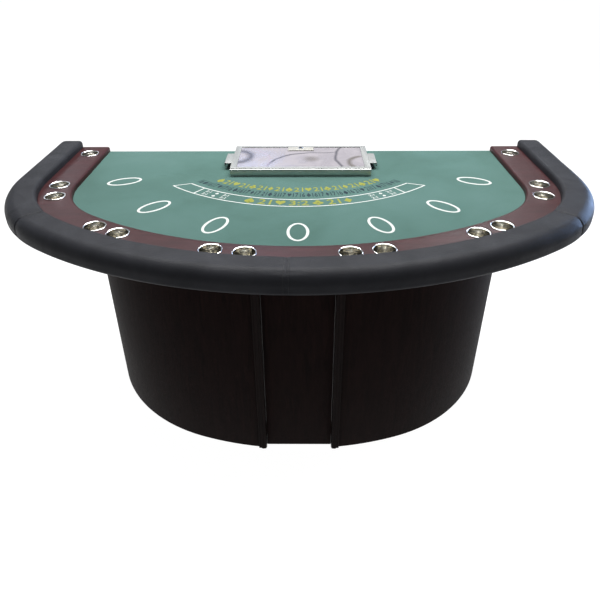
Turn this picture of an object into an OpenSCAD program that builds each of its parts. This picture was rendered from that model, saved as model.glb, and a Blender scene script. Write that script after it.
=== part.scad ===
// Half-round card table with a padded armrest, a wooden cup track, a felt playing
// surface, drop-in cup holders, a lift-out chip tray with a locking lid, and a
// curved panelled base on levelling feet. Millimetres, +Z up, origin on the floor
// at the middle of the outline. Players sit on the -Y side, the dealer at +Y.

/* [Table top] */
// Overall width over the armrest
table_w = 2134; // [2074:2:2194]
// Overall depth, from the dealer's edge to the front of the armrest
table_d = 1180; // [1160:2:1220]
// Outer radius of the two front corners
corner_r = 587; // [570:1:600]
// Outer radius of the long front curve
front_r = 1387; // [1370:1:1430]
// Height of the playing surface above the floor
felt_h = 880; // [760:5:960]
// Width of the armrest, seen from above
rail_w = 110; // [96:1:120]
// Height of the armrest's top above the playing surface
rail_rise = 45; // [42:1:54]
// Depth of the armrest below the playing surface
rail_drop = 25; // [25:1:28]
// Width of the wooden cup track
track_w = 116; // [104:1:124]
// Height of the track's top above the playing surface
track_rise = 19; // [14:0.5:24]

/* [Cup holders] */
// Outer radius of the rolled rim
rim_r = 37.5; // [36.5:0.1:40]
// Outer radius of the cup body
cup_r = 34.5; // [32:0.1:35]
// Depth of a cup holder, rim included
cup_depth = 62; // [50:1:80]
// Gap between a cup body and its hole
cup_gap = 0.8; // [0.4:0.1:1.2]

/* [Chip tray] */
// Length of the tray case
tray_l = 558; // [558:1:570]
// Depth of the tray case, front to back
tray_d = 278; // [272:1:284]
// Height of the closed lid's frame above the playing surface
tray_rise = 33.5; // [33:0.5:38]
// Offset of the tray's middle to the players' right
tray_x = 6; // [-20:1:20]
// Distance from the tray's back to the dealer's edge
tray_back = 40; // [36:1:46]
// Number of chip rows
rows = 14; // [12:1:14]
// Distance from one chip row to the next
row_pitch = 39.5; // [39.3:0.1:39.5]

/* [Base] */
// Half of the base's width
base_half_w = 823; // [800:1:830]
// Radius of the base's corners
base_corner_r = 662.2; // [650:0.1:668]
// Radius of the base's front curve
base_front_r = 1158; // [1140:1:1180]
// Setback of the base's front from the front of the armrest
base_setback = 239; // [230:1:250]
// Gap between the panels and the floor
floor_gap = 12; // [10:1:14]
// Thickness of the bent side panels
panel_t = 9; // [6:0.5:12]
// Distance of each front post from the middle
post_x = 139; // [130:1:150]

/* [Hidden] */
$fn = 96;
e = 0.01;                       // overlap that makes a cut run past a face

// Heights of the top's layers
felt_t = 1.5;
underlay_t = 6;
skin_t = 1.5;                   // armrest cover
rail_top = felt_h + rail_rise;
rail_low = felt_h - rail_drop;
deck_top = felt_h - felt_t - underlay_t;
deck_low = rail_low + skin_t;
deck_t = deck_top - deck_low;
track_top = felt_h + track_rise;
rear_y = table_d / 2;

// Armrest section
rail_out_r = 42;                // rounding of the outer top edge
rail_in_r = 12;                 // rounding of the inner top edge
rail_low_r = 14;                // rounding of the outer bottom edge
deck_edge = 30;                 // deck edge, in from the armrest's outside
hem = 60;                       // edge of the cover under the deck
rail_board_t = 18;
rail_board_edge = 20;
corner_seam = 42;               // seam in each corner, degrees round the curve
middle_seam = -30;              // seam across the front, from the middle

// Cup positions along the middle of the track
cup_line = rail_w + track_w / 2;
rear_cup_back = 95;             // distance from the dealer's edge
side_cups = [3.7, 19.1];        // degrees round each corner
front_cups = [32.5, 27.7, 12.3, 7.4]; // degrees round the front, from the middle
track_nose_r = 8;
cup_wall = 1.2;
cup_foot_r = 6;
rim_h = 2.6;

// Outlines as [half width, corner radius, front radius, front y, back y]
TOP = [table_w / 2, corner_r, front_r, -table_d / 2, rear_y];
base_rear_y = rear_y - 50;
BASE = [base_half_w, base_corner_r, base_front_r, -table_d / 2 + base_setback,
        base_rear_y];
function corner_x(o) = o[0] - o[1];
function front_cy(o) = o[3] + o[2];
function corner_cy(o) =
    front_cy(o) - sqrt(pow(o[2] - o[1], 2) - pow(corner_x(o), 2));

function arc(cx, cy, r, a0, a1, n) =
    [for (i = [0:n]) let (a = a0 + (a1 - a0) * i / n)
        [cx + r * cos(a), cy + r * sin(a)]];
function reversed(p) = [for (i = [len(p) - 1:-1:0]) p[i]];

// Posts and feet
post_w = 28;
post_proud = 8;
post_in = 37;
post_angle = asin(post_x / base_front_r);
rear_post = 45;
former_t = 18;
former_w = 60;
former_gap = 0.3;
lower_former_z = 60;
stem_r = 4;
insert_r = 7;
insert_l = 20;
insert_gap = 0.08;
stem_top = 55;
foot_r = 13;

// Tray
sheet = 2;
pocket_gap = 1;
pad_t = 1.5;
pocket_floor = deck_top - 9;
case_low = pocket_floor + pad_t;
lid_t = 5.3;
case_top = felt_h + tray_rise - lid_t - 0.2;
lid_low = case_top + 0.2;
lid_top = felt_h + tray_rise;
tray_y0 = rear_y - tray_back - tray_d;
tray_y1 = rear_y - tray_back;
row_r = 19.75;
row_drop = 4;                   // insert's top below the rows' axes
row_floor_t = 1.6;
row_l = 214;
insert_low = case_low + sheet;
row_z = insert_low + row_floor_t + row_r;
panel_rebate = 5;
lid_side = 24;                  // width of the lid frame's side rails
lid_front = 17;
lid_back = 14;
lid_panel_t = 2;
knuckle_r = 2;
hinge_y = tray_y0 - knuckle_r - 0.1;
knuckles = 13;
knuckle_gap = 0.6;
pin_r = 0.95;
pin_gap = 0.05;
plate_w = 110;
plate_d = 44;
lock_y = tray_y1 - 25;
barrel_r = 9.5;
barrel_low = lid_low - 16;
barrel_gap = 0.1;
plug_r = 6;
spigot_r = 3.5;
cam_t = 2;
cam_reach = 19;
handle_l = 120;
handle_out = 30;
handle_z = felt_h + 27;
handle_lip = 14;

// ---- Shared geometry -------------------------------------------------------

// Plan areas that part an outline into its front curve and its right-hand corner.
// Both use the same line through the two curves' centres, so the parts meet on it.
module front_wedge(o) {
    cx = corner_x(o);
    cy = corner_cy(o);
    low = cy - 2 * (front_cy(o) - cy);
    polygon([[-cx, cy], [cx, cy], [3 * cx, low], [-3 * cx, low]]);
}

module corner_wedge(o) {
    cx = corner_x(o);
    cy = corner_cy(o);
    low = cy - 2 * (front_cy(o) - cy);
    polygon([[cx, cy], [cx + o[2], cy], [cx + o[2], low], [3 * cx, low]]);
}

// Area inside an outline, moved in by inset on the curved and side edges
module d_area(o, inset) {
    cy = corner_cy(o);
    translate([inset - o[0], cy]) square([2 * (o[0] - inset), o[4] - cy]);
    intersection() {
        translate([0, front_cy(o)]) circle(o[2] - inset, $fn = 180);
        front_wedge(o);
    }
    for (side = [0, 1]) mirror([side, 0]) intersection() {
        translate([corner_x(o), cy]) circle(o[1] - inset);
        corner_wedge(o);
    }
}

// The next four sweep a section along an outline. The section's x runs outward
// from the outline and its y is the height.
module along_side(o) {
    translate([o[0], o[4], 0]) rotate([90, 0, 0])
        linear_extrude(o[4] - corner_cy(o)) children();
}

module along_corner(o) {
    intersection() {
        translate([corner_x(o), corner_cy(o), 0]) rotate_extrude()
            translate([o[1], 0]) children();
        linear_extrude(2 * felt_h) corner_wedge(o);
    }
}

module along_front(o) {
    intersection() {
        translate([0, front_cy(o), 0]) rotate_extrude($fn = 180)
            translate([o[2], 0]) children();
        linear_extrude(2 * felt_h) front_wedge(o);
    }
}

module along_all(o) {
    for (side = [0, 1]) mirror([side, 0, 0]) {
        along_side(o) children();
        along_corner(o) children();
    }
    along_front(o) children();
}

// Keeps the stretch of a swept right-hand corner from a0 to a1 degrees round it
module corner_stretch(o, a0, a1) {
    far = 2 * o[2];
    intersection() {
        children();
        translate([corner_x(o), corner_cy(o), 0]) linear_extrude(2 * felt_h)
            polygon([[0, 0], [far * cos(a0), -far * sin(a0)],
                     [far * cos(a1), -far * sin(a1)]]);
    }
}

// Place on the outline's inner line: side is -1 or 1
function on_side(o, side, inset, y) = [side * (o[0] - inset), y];
function on_corner(o, side, inset, a) =
    [side * (corner_x(o) + (o[1] - inset) * cos(a)),
     corner_cy(o) - (o[1] - inset) * sin(a)];
function on_front(o, side, inset, a) =
    [side * (o[2] - inset) * sin(a), front_cy(o) - (o[2] - inset) * cos(a)];

function cups_on(side) = concat(
    [on_side(TOP, side, cup_line, rear_y - rear_cup_back)],
    [for (a = side_cups) on_corner(TOP, side, cup_line, a)],
    [for (a = front_cups) on_front(TOP, side, cup_line, a)]);
CUPS = concat(cups_on(-1), reversed(cups_on(1)));

module cup_holes(low, high) {
    for (p = CUPS) translate([p[0], p[1], low - e])
        cylinder(r = cup_r + cup_gap, h = high - low + 2 * e);
}

// ---- Table top -------------------------------------------------------------

module tray_cut(low, high) {
    translate([tray_x - tray_l / 2 - pocket_gap, tray_y0 - pocket_gap, low])
        cube([tray_l + 2 * pocket_gap, tray_d + 2 * pocket_gap, high - low]);
}

RAIL_SCREWS = concat(
    [for (side = [-1, 1]) each [for (y = [0.93, 0.4])
        on_side(TOP, side, 70, corner_cy(TOP) + y * (rear_y - corner_cy(TOP)))]],
    [for (side = [-1, 1]) each [for (a = [12, 44]) on_corner(TOP, side, 70, a)]],
    [for (side = [-1, 1]) each [for (a = [8, 28]) on_front(TOP, side, 70, a)]]);
screw_r = 3;
screw_head_r = 6;

DECK_BOLTS = concat(
    [for (side = [-1, 1]) on_side(BASE, side, 40, base_rear_y - 90)],
    [for (side = [-1, 1]) each [for (a = [10, 48]) on_corner(BASE, side, 40, a)]],
    [for (side = [-1, 1]) on_front(BASE, side, 40, 13)]);
bolt_r = 4;
bolt_head_r = 8;
bolt_in_deck = 12;

module deck_board() {
    color("burlywood") difference() {
        translate([0, 0, deck_low]) linear_extrude(deck_t)
            intersection() {
                d_area(TOP, deck_edge);
                translate([-table_w, -table_d])
                    square([2 * table_w, table_d + rear_y - felt_t]);
            }
        cup_holes(deck_low, deck_top);
        tray_cut(pocket_floor, deck_top + e);
        for (p = RAIL_SCREWS) translate([p[0], p[1], deck_low - e])
            cylinder(r = screw_r, h = deck_t + 2 * e);
        for (p = DECK_BOLTS) translate([p[0], p[1], deck_low - e])
            cylinder(r = bolt_r, h = bolt_in_deck + e);
    }
}

module foam_underlay() {
    color("gainsboro") difference() {
        translate([0, 0, deck_top]) linear_extrude(underlay_t)
            intersection() {
                d_area(TOP, rail_w + track_w + 0.3);
                translate([-table_w, -table_d])
                    square([2 * table_w, table_d + rear_y - felt_t]);
            }
        tray_cut(deck_top - e, felt_h);
    }
}

// Cloth over the playing surface, turned down over the dealer's edge
module felt_layout() {
    half = table_w / 2 - rail_w - track_w - 0.3;
    color("seagreen") difference() {
        union() {
            translate([0, 0, felt_h - felt_t]) linear_extrude(felt_t)
                d_area(TOP, rail_w + track_w + 0.3);
            translate([-half, rear_y - felt_t, deck_low])
                cube([2 * half, felt_t, felt_h - deck_low]);
        }
        tray_cut(deck_top, felt_h + e);
    }
}

module track_section() {
    inner = -(rail_w + track_w);
    polygon(concat(
        [[-rail_w - 0.3, deck_top], [-rail_w - 0.3, track_top]],
        arc(inner + track_nose_r, track_top - track_nose_r, track_nose_r,
            90, 180, 6),
        [[inner, deck_top]]));
}

module cup_track() {
    color("saddlebrown") difference() {
        along_all(TOP) track_section();
        cup_holes(deck_top, track_top);
    }
}

// ---- Armrest ---------------------------------------------------------------

// Outside of the armrest moved in by s, from its hem round to the cup track
function rail_path(s) = concat(
    [[-hem, rail_low + s]],
    arc(-rail_low_r, rail_low + rail_low_r, rail_low_r - s, -90, 0, 5),
    arc(-rail_out_r, rail_top - rail_out_r, rail_out_r - s, 0, 90, 10),
    arc(rail_in_r - rail_w, rail_top - rail_in_r, rail_in_r - s, 90, 180, 7),
    [[s - rail_w, deck_top]]);

module cover_section() {
    polygon(concat(rail_path(0), reversed(rail_path(skin_t))));
}

module foam_section() {
    board_top = deck_top + rail_board_t;
    path = rail_path(skin_t);
    polygon(concat(
        [[-deck_edge, deck_low]],
        [for (i = [1:len(path) - 2]) path[i]],
        [[skin_t - rail_w, board_top], [-rail_board_edge, board_top],
         [-rail_board_edge, deck_top], [-deck_edge, deck_top]]));
}

module board_section() {
    translate([skin_t - rail_w, deck_top])
        square([rail_w - skin_t - rail_board_edge, rail_board_t]);
}

// Shortens a swept armrest part to make room for the cover's end caps
module end_trim() {
    difference() {
        children();
        translate([-table_w, rear_y - skin_t, rail_low - e])
            cube([2 * table_w, 2 * skin_t, rail_top]);
    }
}

module armrest_base() {
    color("tan") difference() {
        end_trim() along_all(TOP) board_section();
        for (p = RAIL_SCREWS) translate([p[0], p[1], deck_top - e])
            cylinder(r = screw_r, h = 12 + e);
    }
}

module armrest_foam() {
    color("khaki") end_trim() along_all(TOP) foam_section();
}

// Closed end of the cover at the dealer's edge, above and outside the deck
module cover_end() {
    path = rail_path(0);
    translate([table_w / 2, rear_y, 0]) rotate([90, 0, 0])
        linear_extrude(skin_t) polygon(concat(
            [[-deck_edge, rail_low]],
            [for (i = [1:len(path) - 1]) path[i]],
            [[-deck_edge, deck_top]]));
}

module cover_side() {
    along_side(TOP) cover_section();
    corner_stretch(TOP, -10, corner_seam) along_corner(TOP) cover_section();
    cover_end();
}

// Front half of the cover: side is 0 on the right and 1 on the left
module cover_front(side) {
    right = table_w / 2;
    mirror([side, 0, 0])
        corner_stretch(TOP, corner_seam, 80) along_corner(TOP) cover_section();
    intersection() {
        along_front(TOP) cover_section();
        translate([side == 0 ? middle_seam : middle_seam - right, -right, 0])
            cube([right, table_w, 2 * felt_h]);
    }
}

module armrest_cover_right_side() { color("#33363a") cover_side(); }

module armrest_cover_left_side() {
    color("#33363a") mirror([1, 0, 0]) cover_side();
}

module armrest_cover_right_front() { color("#2c2f33") cover_front(0); }
module armrest_cover_left_front() { color("#2c2f33") cover_front(1); }

// Screws from under the deck into the armrest board
module rail_screws() {
    color("silver") for (p = RAIL_SCREWS) translate([p[0], p[1], 0]) {
        translate([0, 0, deck_low - 3]) cylinder(r = screw_head_r, h = 3);
        translate([0, 0, deck_low - e]) cylinder(r = screw_r, h = deck_t + 12);
    }
}

// ---- Base ------------------------------------------------------------------

module panel_section() {
    translate([-panel_t, floor_gap]) square([panel_t, deck_low - floor_gap]);
}

// Bent panel from the back post round the corner to the front post
module side_panel() {
    start = post_angle + asin((post_w / 2 + 0.4) / (base_front_r - panel_t));
    far = 2 * base_front_r;
    along_side(BASE) panel_section();
    along_corner(BASE) panel_section();
    intersection() {
        along_front(BASE) panel_section();
        translate([0, front_cy(BASE), 0]) linear_extrude(felt_h)
            polygon([[0, 0], [far * sin(start), -far * cos(start)],
                     [far * sin(50), -far * cos(50)]]);
    }
}

module side_panel_right() { color("#2a1a16") side_panel(); }
module side_panel_left() { color("#2a1a16") mirror([1, 0, 0]) side_panel(); }

bay_x = post_x - post_w / 2 - 3;            // half width of the front bay
bay_y = BASE[3] + 17;                       // face of the flat front panel

module front_panel() {
    color("#261713") translate([-bay_x, bay_y, floor_gap + 6])
        cube([2 * bay_x, panel_t, deck_low - floor_gap - 6]);
}

// Right-hand front post, square to the front curve, with its foot's bore
FRONT_FOOT = on_front(BASE, 1, (post_in - post_proud) / 2, post_angle);
REAR_FOOT = [base_half_w - panel_t - rear_post / 2, base_rear_y - rear_post / 2];

module foot_bore() {
    translate([0, 0, floor_gap - e]) cylinder(r = insert_r, h = insert_l + e);
    translate([0, 0, floor_gap]) cylinder(r = stem_r + 0.6, h = stem_top);
}

module front_post_block(grow) {
    translate(FRONT_FOOT) rotate([0, 0, post_angle])
        translate([-post_w / 2 - grow, -(post_in + post_proud) / 2 - grow,
                   floor_gap])
        cube([post_w + 2 * grow, post_in + post_proud + 2 * grow,
              deck_low - floor_gap]);
}

module rear_post_block(grow) {
    translate([REAR_FOOT[0] - rear_post / 2 - grow,
               REAR_FOOT[1] - rear_post / 2 - grow, floor_gap])
        cube([rear_post + grow, rear_post + 2 * grow, deck_low - floor_gap]);
}

module front_post() {
    difference() {
        front_post_block(0);
        translate(FRONT_FOOT) foot_bore();
    }
}

module rear_post_part() {
    difference() {
        rear_post_block(0);
        translate(REAR_FOOT) foot_bore();
    }
}

module post_front_right() { color("#1f1310") front_post(); }
module post_front_left() { color("#1f1310") mirror([1, 0, 0]) front_post(); }
module post_rear_right() { color("#1f1310") rear_post_part(); }
module post_rear_left() { color("#1f1310") mirror([1, 0, 0]) rear_post_part(); }

// Plywood ring inside the panels, notched round the posts and the front bay
module former(z) {
    difference() {
        along_all(BASE) translate([-panel_t - former_w, z])
            square([former_w, former_t]);
        for (side = [0, 1]) mirror([side, 0, 0]) {
            front_post_block(former_gap);
            rear_post_block(former_gap);
            translate([base_half_w - panel_t - former_w - e,
                       base_rear_y - rear_post - 2 * former_gap, z - e])
                cube([former_w + panel_t, 2 * rear_post, former_t + 2 * e]);
        }
        translate([-post_x, BASE[3] - e, z - e])
            cube([2 * post_x, bay_y + panel_t - BASE[3] + 2 * e,
                  former_t + 2 * e]);
    }
}

module upper_former() {
    color("peru") difference() {
        former(deck_low - former_t);
        for (p = DECK_BOLTS) translate([p[0], p[1], deck_low - former_t - e])
            cylinder(r = bolt_r, h = former_t + 2 * e);
    }
}

module lower_former() { color("peru") former(lower_former_z); }

module rear_apron() {
    color("#241612") translate([-REAR_FOOT[0] + rear_post / 2,
                                base_rear_y - 34, deck_low - 90])
        cube([2 * REAR_FOOT[0] - rear_post, 18, 90]);
}

module rear_stretcher() {
    color("#241612") translate([-REAR_FOOT[0] + rear_post / 2,
                                base_rear_y - 34, 110])
        cube([2 * REAR_FOOT[0] - rear_post, 22, 70]);
}

module deck_bolts() {
    color("silver") for (p = DECK_BOLTS)
        translate([p[0], p[1], deck_low - former_t]) {
            translate([0, 0, -5]) cylinder(r = bolt_head_r, h = 5);
            translate([0, 0, -e]) cylinder(r = bolt_r, h = former_t + bolt_in_deck);
        }
}

module at_feet() {
    for (side = [0, 1]) mirror([side, 0, 0]) {
        translate(FRONT_FOOT) children();
        translate(REAR_FOOT) children();
    }
}

module foot_inserts() {
    color("goldenrod") at_feet() translate([0, 0, floor_gap])
        difference() {
            cylinder(r = insert_r, h = insert_l);
            translate([0, 0, -e])
                cylinder(r = stem_r + insert_gap, h = insert_l + 2 * e);
        }
}

// Levelling foot: a round pad that tapers up to its threaded stem
module leveller() {
    color("#202020") {
        cylinder(r = foot_r, h = 4);
        translate([0, 0, 4]) cylinder(r1 = foot_r, r2 = 8, h = floor_gap - 4.6);
        cylinder(r = stem_r, h = stem_top);
    }
}

module leveller_at(p, side) { mirror([side, 0, 0]) translate(p) leveller(); }

// ---- Cup holders -----------------------------------------------------------

cup_low = track_top + rim_h - cup_depth;

// Spun steel cup with a rolled rim that rests on the track
module cup_holder(i) {
    top = track_top + rim_h;
    inner = cup_r - cup_wall;
    color("lightsteelblue") translate([CUPS[i - 1][0], CUPS[i - 1][1], 0])
        rotate_extrude() polygon(concat(
            [[0, cup_low]],
            arc(cup_r - cup_foot_r, cup_low + cup_foot_r, cup_foot_r, -90, 0, 5),
            [[cup_r, track_top]],
            arc(rim_r - rim_h / 2, track_top + rim_h / 2, rim_h / 2, -90, 90, 8),
            arc(inner + rim_h / 2, top - rim_h / 2, rim_h / 2, 90, 180, 5),
            arc(cup_r - cup_foot_r, cup_low + cup_foot_r, cup_foot_r - cup_wall,
                0, -90, 5),
            [[0, cup_low + cup_wall]]));
}

// ---- Chip tray -------------------------------------------------------------

module tray_case() {
    color("gainsboro") translate([tray_x - tray_l / 2, tray_y0, case_low])
        difference() {
            cube([tray_l, tray_d, case_top - case_low]);
            translate([sheet, sheet, sheet])
                cube([tray_l - 2 * sheet, tray_d - 2 * sheet, case_top]);
        }
}

// Block of half-round chip rows with an upright board behind them
module tray_insert() {
    w = tray_l - 2 * sheet;
    color("silver") {
        difference() {
            translate([tray_x - w / 2, tray_y0 + sheet, insert_low])
                cube([w, row_l, row_z - row_drop - insert_low]);
            for (i = [0:rows - 1])
                translate([tray_x + (i - (rows - 1) / 2) * row_pitch,
                           tray_y0 + sheet - e, row_z])
                    rotate([-90, 0, 0]) cylinder(r = row_r, h = row_l + 2 * e);
        }
        translate([tray_x - w / 2, tray_y0 + sheet + row_l, insert_low])
            cube([w, sheet, row_z + 12 - insert_low]);
    }
}

module tray_pads() {
    color("dimgray") for (sx = [-1, 1], sy = [0, 1])
        translate([tray_x + sx * (tray_l / 2 - 30) - 20,
                   tray_y0 + 12 + sy * (tray_d - 34), pocket_floor])
            cube([40, 10, pad_t]);
}

// Bent plate on the end of the case: leaf, shelf and turned-down lip
module handle_plate() {
    translate([0, tray_y0 + 138 + handle_l / 2, 0]) rotate([90, 0, 0])
        linear_extrude(handle_l) polygon([
            [0, handle_z - 20], [0, handle_z], [handle_out, handle_z],
            [handle_out, handle_z - handle_lip],
            [handle_out - sheet, handle_z - handle_lip],
            [handle_out - sheet, handle_z - sheet], [sheet, handle_z - sheet],
            [sheet, handle_z - 20]]);
}

module at_ends() {
    translate([tray_x, 0, 0]) for (side = [0, 1]) mirror([side, 0, 0])
        translate([tray_l / 2, 0, 0]) children();
}

module tray_handle_right() {
    color("whitesmoke") translate([tray_x + tray_l / 2, 0, 0]) handle_plate();
}

module tray_handle_left() {
    color("whitesmoke") translate([tray_x - tray_l / 2, 0, 0])
        mirror([1, 0, 0]) handle_plate();
}

module handle_rivets() {
    color("silver") at_ends() for (dy = [-40, 40])
        translate([sheet, tray_y0 + 138 + dy, handle_z - 12])
            rotate([0, 90, 0]) cylinder(r1 = 3.5, r2 = 2, h = 1.5);
}

// Hinge barrels: even ones belong to the case, odd ones to the lid
module knuckle_row(first, bore_r, web_z) {
    step = tray_l / knuckles;
    for (i = [first:2:knuckles - 1])
        translate([tray_x - tray_l / 2 + i * step + knuckle_gap / 2, 0, 0])
            difference() {
                union() {
                    translate([0, hinge_y, case_top]) rotate([0, 90, 0])
                        cylinder(r = knuckle_r, h = step - knuckle_gap, $fn = 32);
                    translate([0, hinge_y, web_z])
                        cube([step - knuckle_gap, tray_y0 - hinge_y, 1.6]);
                }
                translate([-e, hinge_y, case_top]) rotate([0, 90, 0])
                    cylinder(r = bore_r, h = step, $fn = 32);
            }
}

module case_knuckles() { color("silver") knuckle_row(0, pin_r, case_top - 1.9); }

module lid_knuckles() {
    color("silver") knuckle_row(1, pin_r + pin_gap, case_top + 0.3);
}

module hinge_pin() {
    color("gray") translate([tray_x - tray_l / 2 + 1, hinge_y, case_top])
        rotate([0, 90, 0]) cylinder(r = pin_r, h = tray_l - 2, $fn = 32);
}

module lid_opening(grow, low, high) {
    translate([tray_x - tray_l / 2 + lid_side - grow,
               tray_y0 + lid_front - grow, low])
        cube([tray_l - 2 * lid_side + 2 * grow,
              tray_d - lid_front - lid_back + 2 * grow, high - low]);
}

module lid_frame() {
    color("white") difference() {
        translate([tray_x - tray_l / 2, tray_y0, lid_low])
            cube([tray_l, tray_d, lid_t]);
        lid_opening(0, lid_low - e, lid_top + e);
        lid_opening(panel_rebate, lid_low - e, lid_low + lid_panel_t);
    }
}

module lid_panel() {
    color("lavender") difference() {
        lid_opening(panel_rebate, lid_low, lid_low + lid_panel_t);
        translate([tray_x, lock_y, lid_low - e])
            cylinder(r = barrel_r + barrel_gap, h = lid_panel_t + 2 * e);
    }
}

module lock_plate() {
    low = lid_low + lid_panel_t;
    color("ivory") difference() {
        translate([tray_x - plate_w / 2, tray_y1 - lid_back - plate_d, low])
            cube([plate_w, plate_d, lid_top + 0.2 - low]);
        translate([tray_x, lock_y, low - e])
            cylinder(r = barrel_r + barrel_gap, h = lid_t);
    }
}

// Lock case with a flange on top and a bore for the turning plug
module lock_barrel() {
    color("silver") translate([tray_x, lock_y, 0]) difference() {
        union() {
            translate([0, 0, barrel_low])
                cylinder(r = barrel_r, h = lid_top + 0.2 - barrel_low);
            translate([0, 0, lid_top + 0.2]) cylinder(r = 11, h = 1);
        }
        translate([0, 0, barrel_low - e])
            cylinder(r = plug_r + pin_gap, h = lid_top + 2 - barrel_low);
    }
}

module lock_nut() {
    color("gray") translate([tray_x, lock_y, lid_low - 4]) difference() {
        cylinder(r = 13, h = 4, $fn = 6);
        translate([0, 0, -e]) cylinder(r = barrel_r, h = 4 + 2 * e);
    }
}

module lock_plug() {
    low = barrel_low + 0.5;
    high = lid_top + 1.2;
    color("dimgray") translate([tray_x, lock_y, 0]) difference() {
        union() {
            translate([0, 0, low]) cylinder(r = plug_r, h = high - low);
            translate([0, 0, barrel_low - 1 - cam_t])
                cylinder(r = spigot_r, h = cam_t + 2);
        }
        translate([-1, -4, high - 4]) cube([2, 8, 5]);
    }
}

// Cam under the lock: along the tray when open, under the strike when locked
module lock_cam() {
    color("gray") translate([tray_x, lock_y, barrel_low - 1 - cam_t])
        difference() {
            union() {
                cylinder(r = 6, h = cam_t);
                translate([0, -5, 0]) cube([cam_reach, 10, cam_t]);
            }
            translate([0, 0, -e]) cylinder(r = spigot_r, h = cam_t + 2 * e);
        }
}

// Lip on the back wall of the case that the cam turns under
module lock_strike() {
    lip = 11;
    color("silver") translate([tray_x - 15, tray_y1 - sheet - lip, 0]) {
        translate([0, 0, barrel_low - 0.5]) cube([30, lip, 1.6]);
        translate([0, lip - 1.6, barrel_low - 0.5])
            cube([30, 1.6, case_top - barrel_low - 2]);
    }
}

// ---- Nodes -----------------------------------------------------------------

deck_board();
foam_underlay();
felt_layout();
cup_track();
armrest_base();
armrest_foam();
armrest_cover_left_side();
armrest_cover_left_front();
armrest_cover_right_front();
armrest_cover_right_side();
front_panel();
side_panel_left();
side_panel_right();
post_front_left();
post_front_right();
post_rear_left();
post_rear_right();
upper_former();
lower_former();
rear_apron();
rear_stretcher();
deck_bolts();
rail_screws();
foot_inserts();
leveller_at(FRONT_FOOT, 1);  // leveller_front_left
leveller_at(FRONT_FOOT, 0);  // leveller_front_right
leveller_at(REAR_FOOT, 1);  // leveller_rear_left
leveller_at(REAR_FOOT, 0);  // leveller_rear_right
cup_holder(1);  // cup_holder_1
cup_holder(2);  // cup_holder_2
cup_holder(3);  // cup_holder_3
cup_holder(4);  // cup_holder_4
cup_holder(5);  // cup_holder_5
cup_holder(6);  // cup_holder_6
cup_holder(7);  // cup_holder_7
cup_holder(8);  // cup_holder_8
cup_holder(9);  // cup_holder_9
cup_holder(10);  // cup_holder_10
cup_holder(11);  // cup_holder_11
cup_holder(12);  // cup_holder_12
cup_holder(13);  // cup_holder_13
cup_holder(14);  // cup_holder_14
tray_case();
tray_insert();
tray_handle_left();
tray_handle_right();
handle_rivets();
tray_pads();
case_knuckles();
hinge_pin();
lid_knuckles();
lid_frame();
lid_panel();
lock_plate();
lock_barrel();
lock_nut();
lock_plug();
lock_cam();
lock_strike();
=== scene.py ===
"""Looks for a half-round card table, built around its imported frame.

The padded armrest, the cup holders, the felt with its printed layout, the chip tray's
metalwork and the base's joinery are each a class that builds its meshes and gives them
their finishes. Lengths are metres, +Z is up and the players sit on the -Y side.
"""

import logging
import math
from dataclasses import dataclass, field
from enum import Enum

import bmesh
import bpy
from mathutils import Matrix, Vector, noise


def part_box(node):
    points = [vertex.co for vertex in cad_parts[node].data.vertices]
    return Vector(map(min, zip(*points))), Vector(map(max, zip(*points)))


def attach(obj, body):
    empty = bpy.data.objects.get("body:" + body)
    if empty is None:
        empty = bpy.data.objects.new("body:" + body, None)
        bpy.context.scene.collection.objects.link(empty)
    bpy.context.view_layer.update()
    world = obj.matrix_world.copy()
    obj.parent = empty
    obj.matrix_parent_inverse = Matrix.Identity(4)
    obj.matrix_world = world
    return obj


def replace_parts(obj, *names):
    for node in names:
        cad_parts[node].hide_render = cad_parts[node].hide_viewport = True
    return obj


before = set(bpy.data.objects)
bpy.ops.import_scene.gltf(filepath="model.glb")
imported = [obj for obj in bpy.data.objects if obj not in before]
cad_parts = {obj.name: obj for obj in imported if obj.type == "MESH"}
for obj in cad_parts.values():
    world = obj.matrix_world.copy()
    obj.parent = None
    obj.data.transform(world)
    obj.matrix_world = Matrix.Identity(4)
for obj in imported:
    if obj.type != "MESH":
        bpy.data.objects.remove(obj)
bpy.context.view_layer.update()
LOG = logging.getLogger("card_table")

Colour = tuple[float, float, float]
Point = tuple[float, float]


# ---- Materials ---------------------------------------------------------------


class Place(Enum):
    """Where a material takes its texture coordinates from."""

    OBJECT = "object"
    FLOW = "flow"


def rgba(colour: Colour) -> tuple[float, float, float, float]:
    """A colour with full alpha."""
    return (*colour, 1.0)


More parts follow.
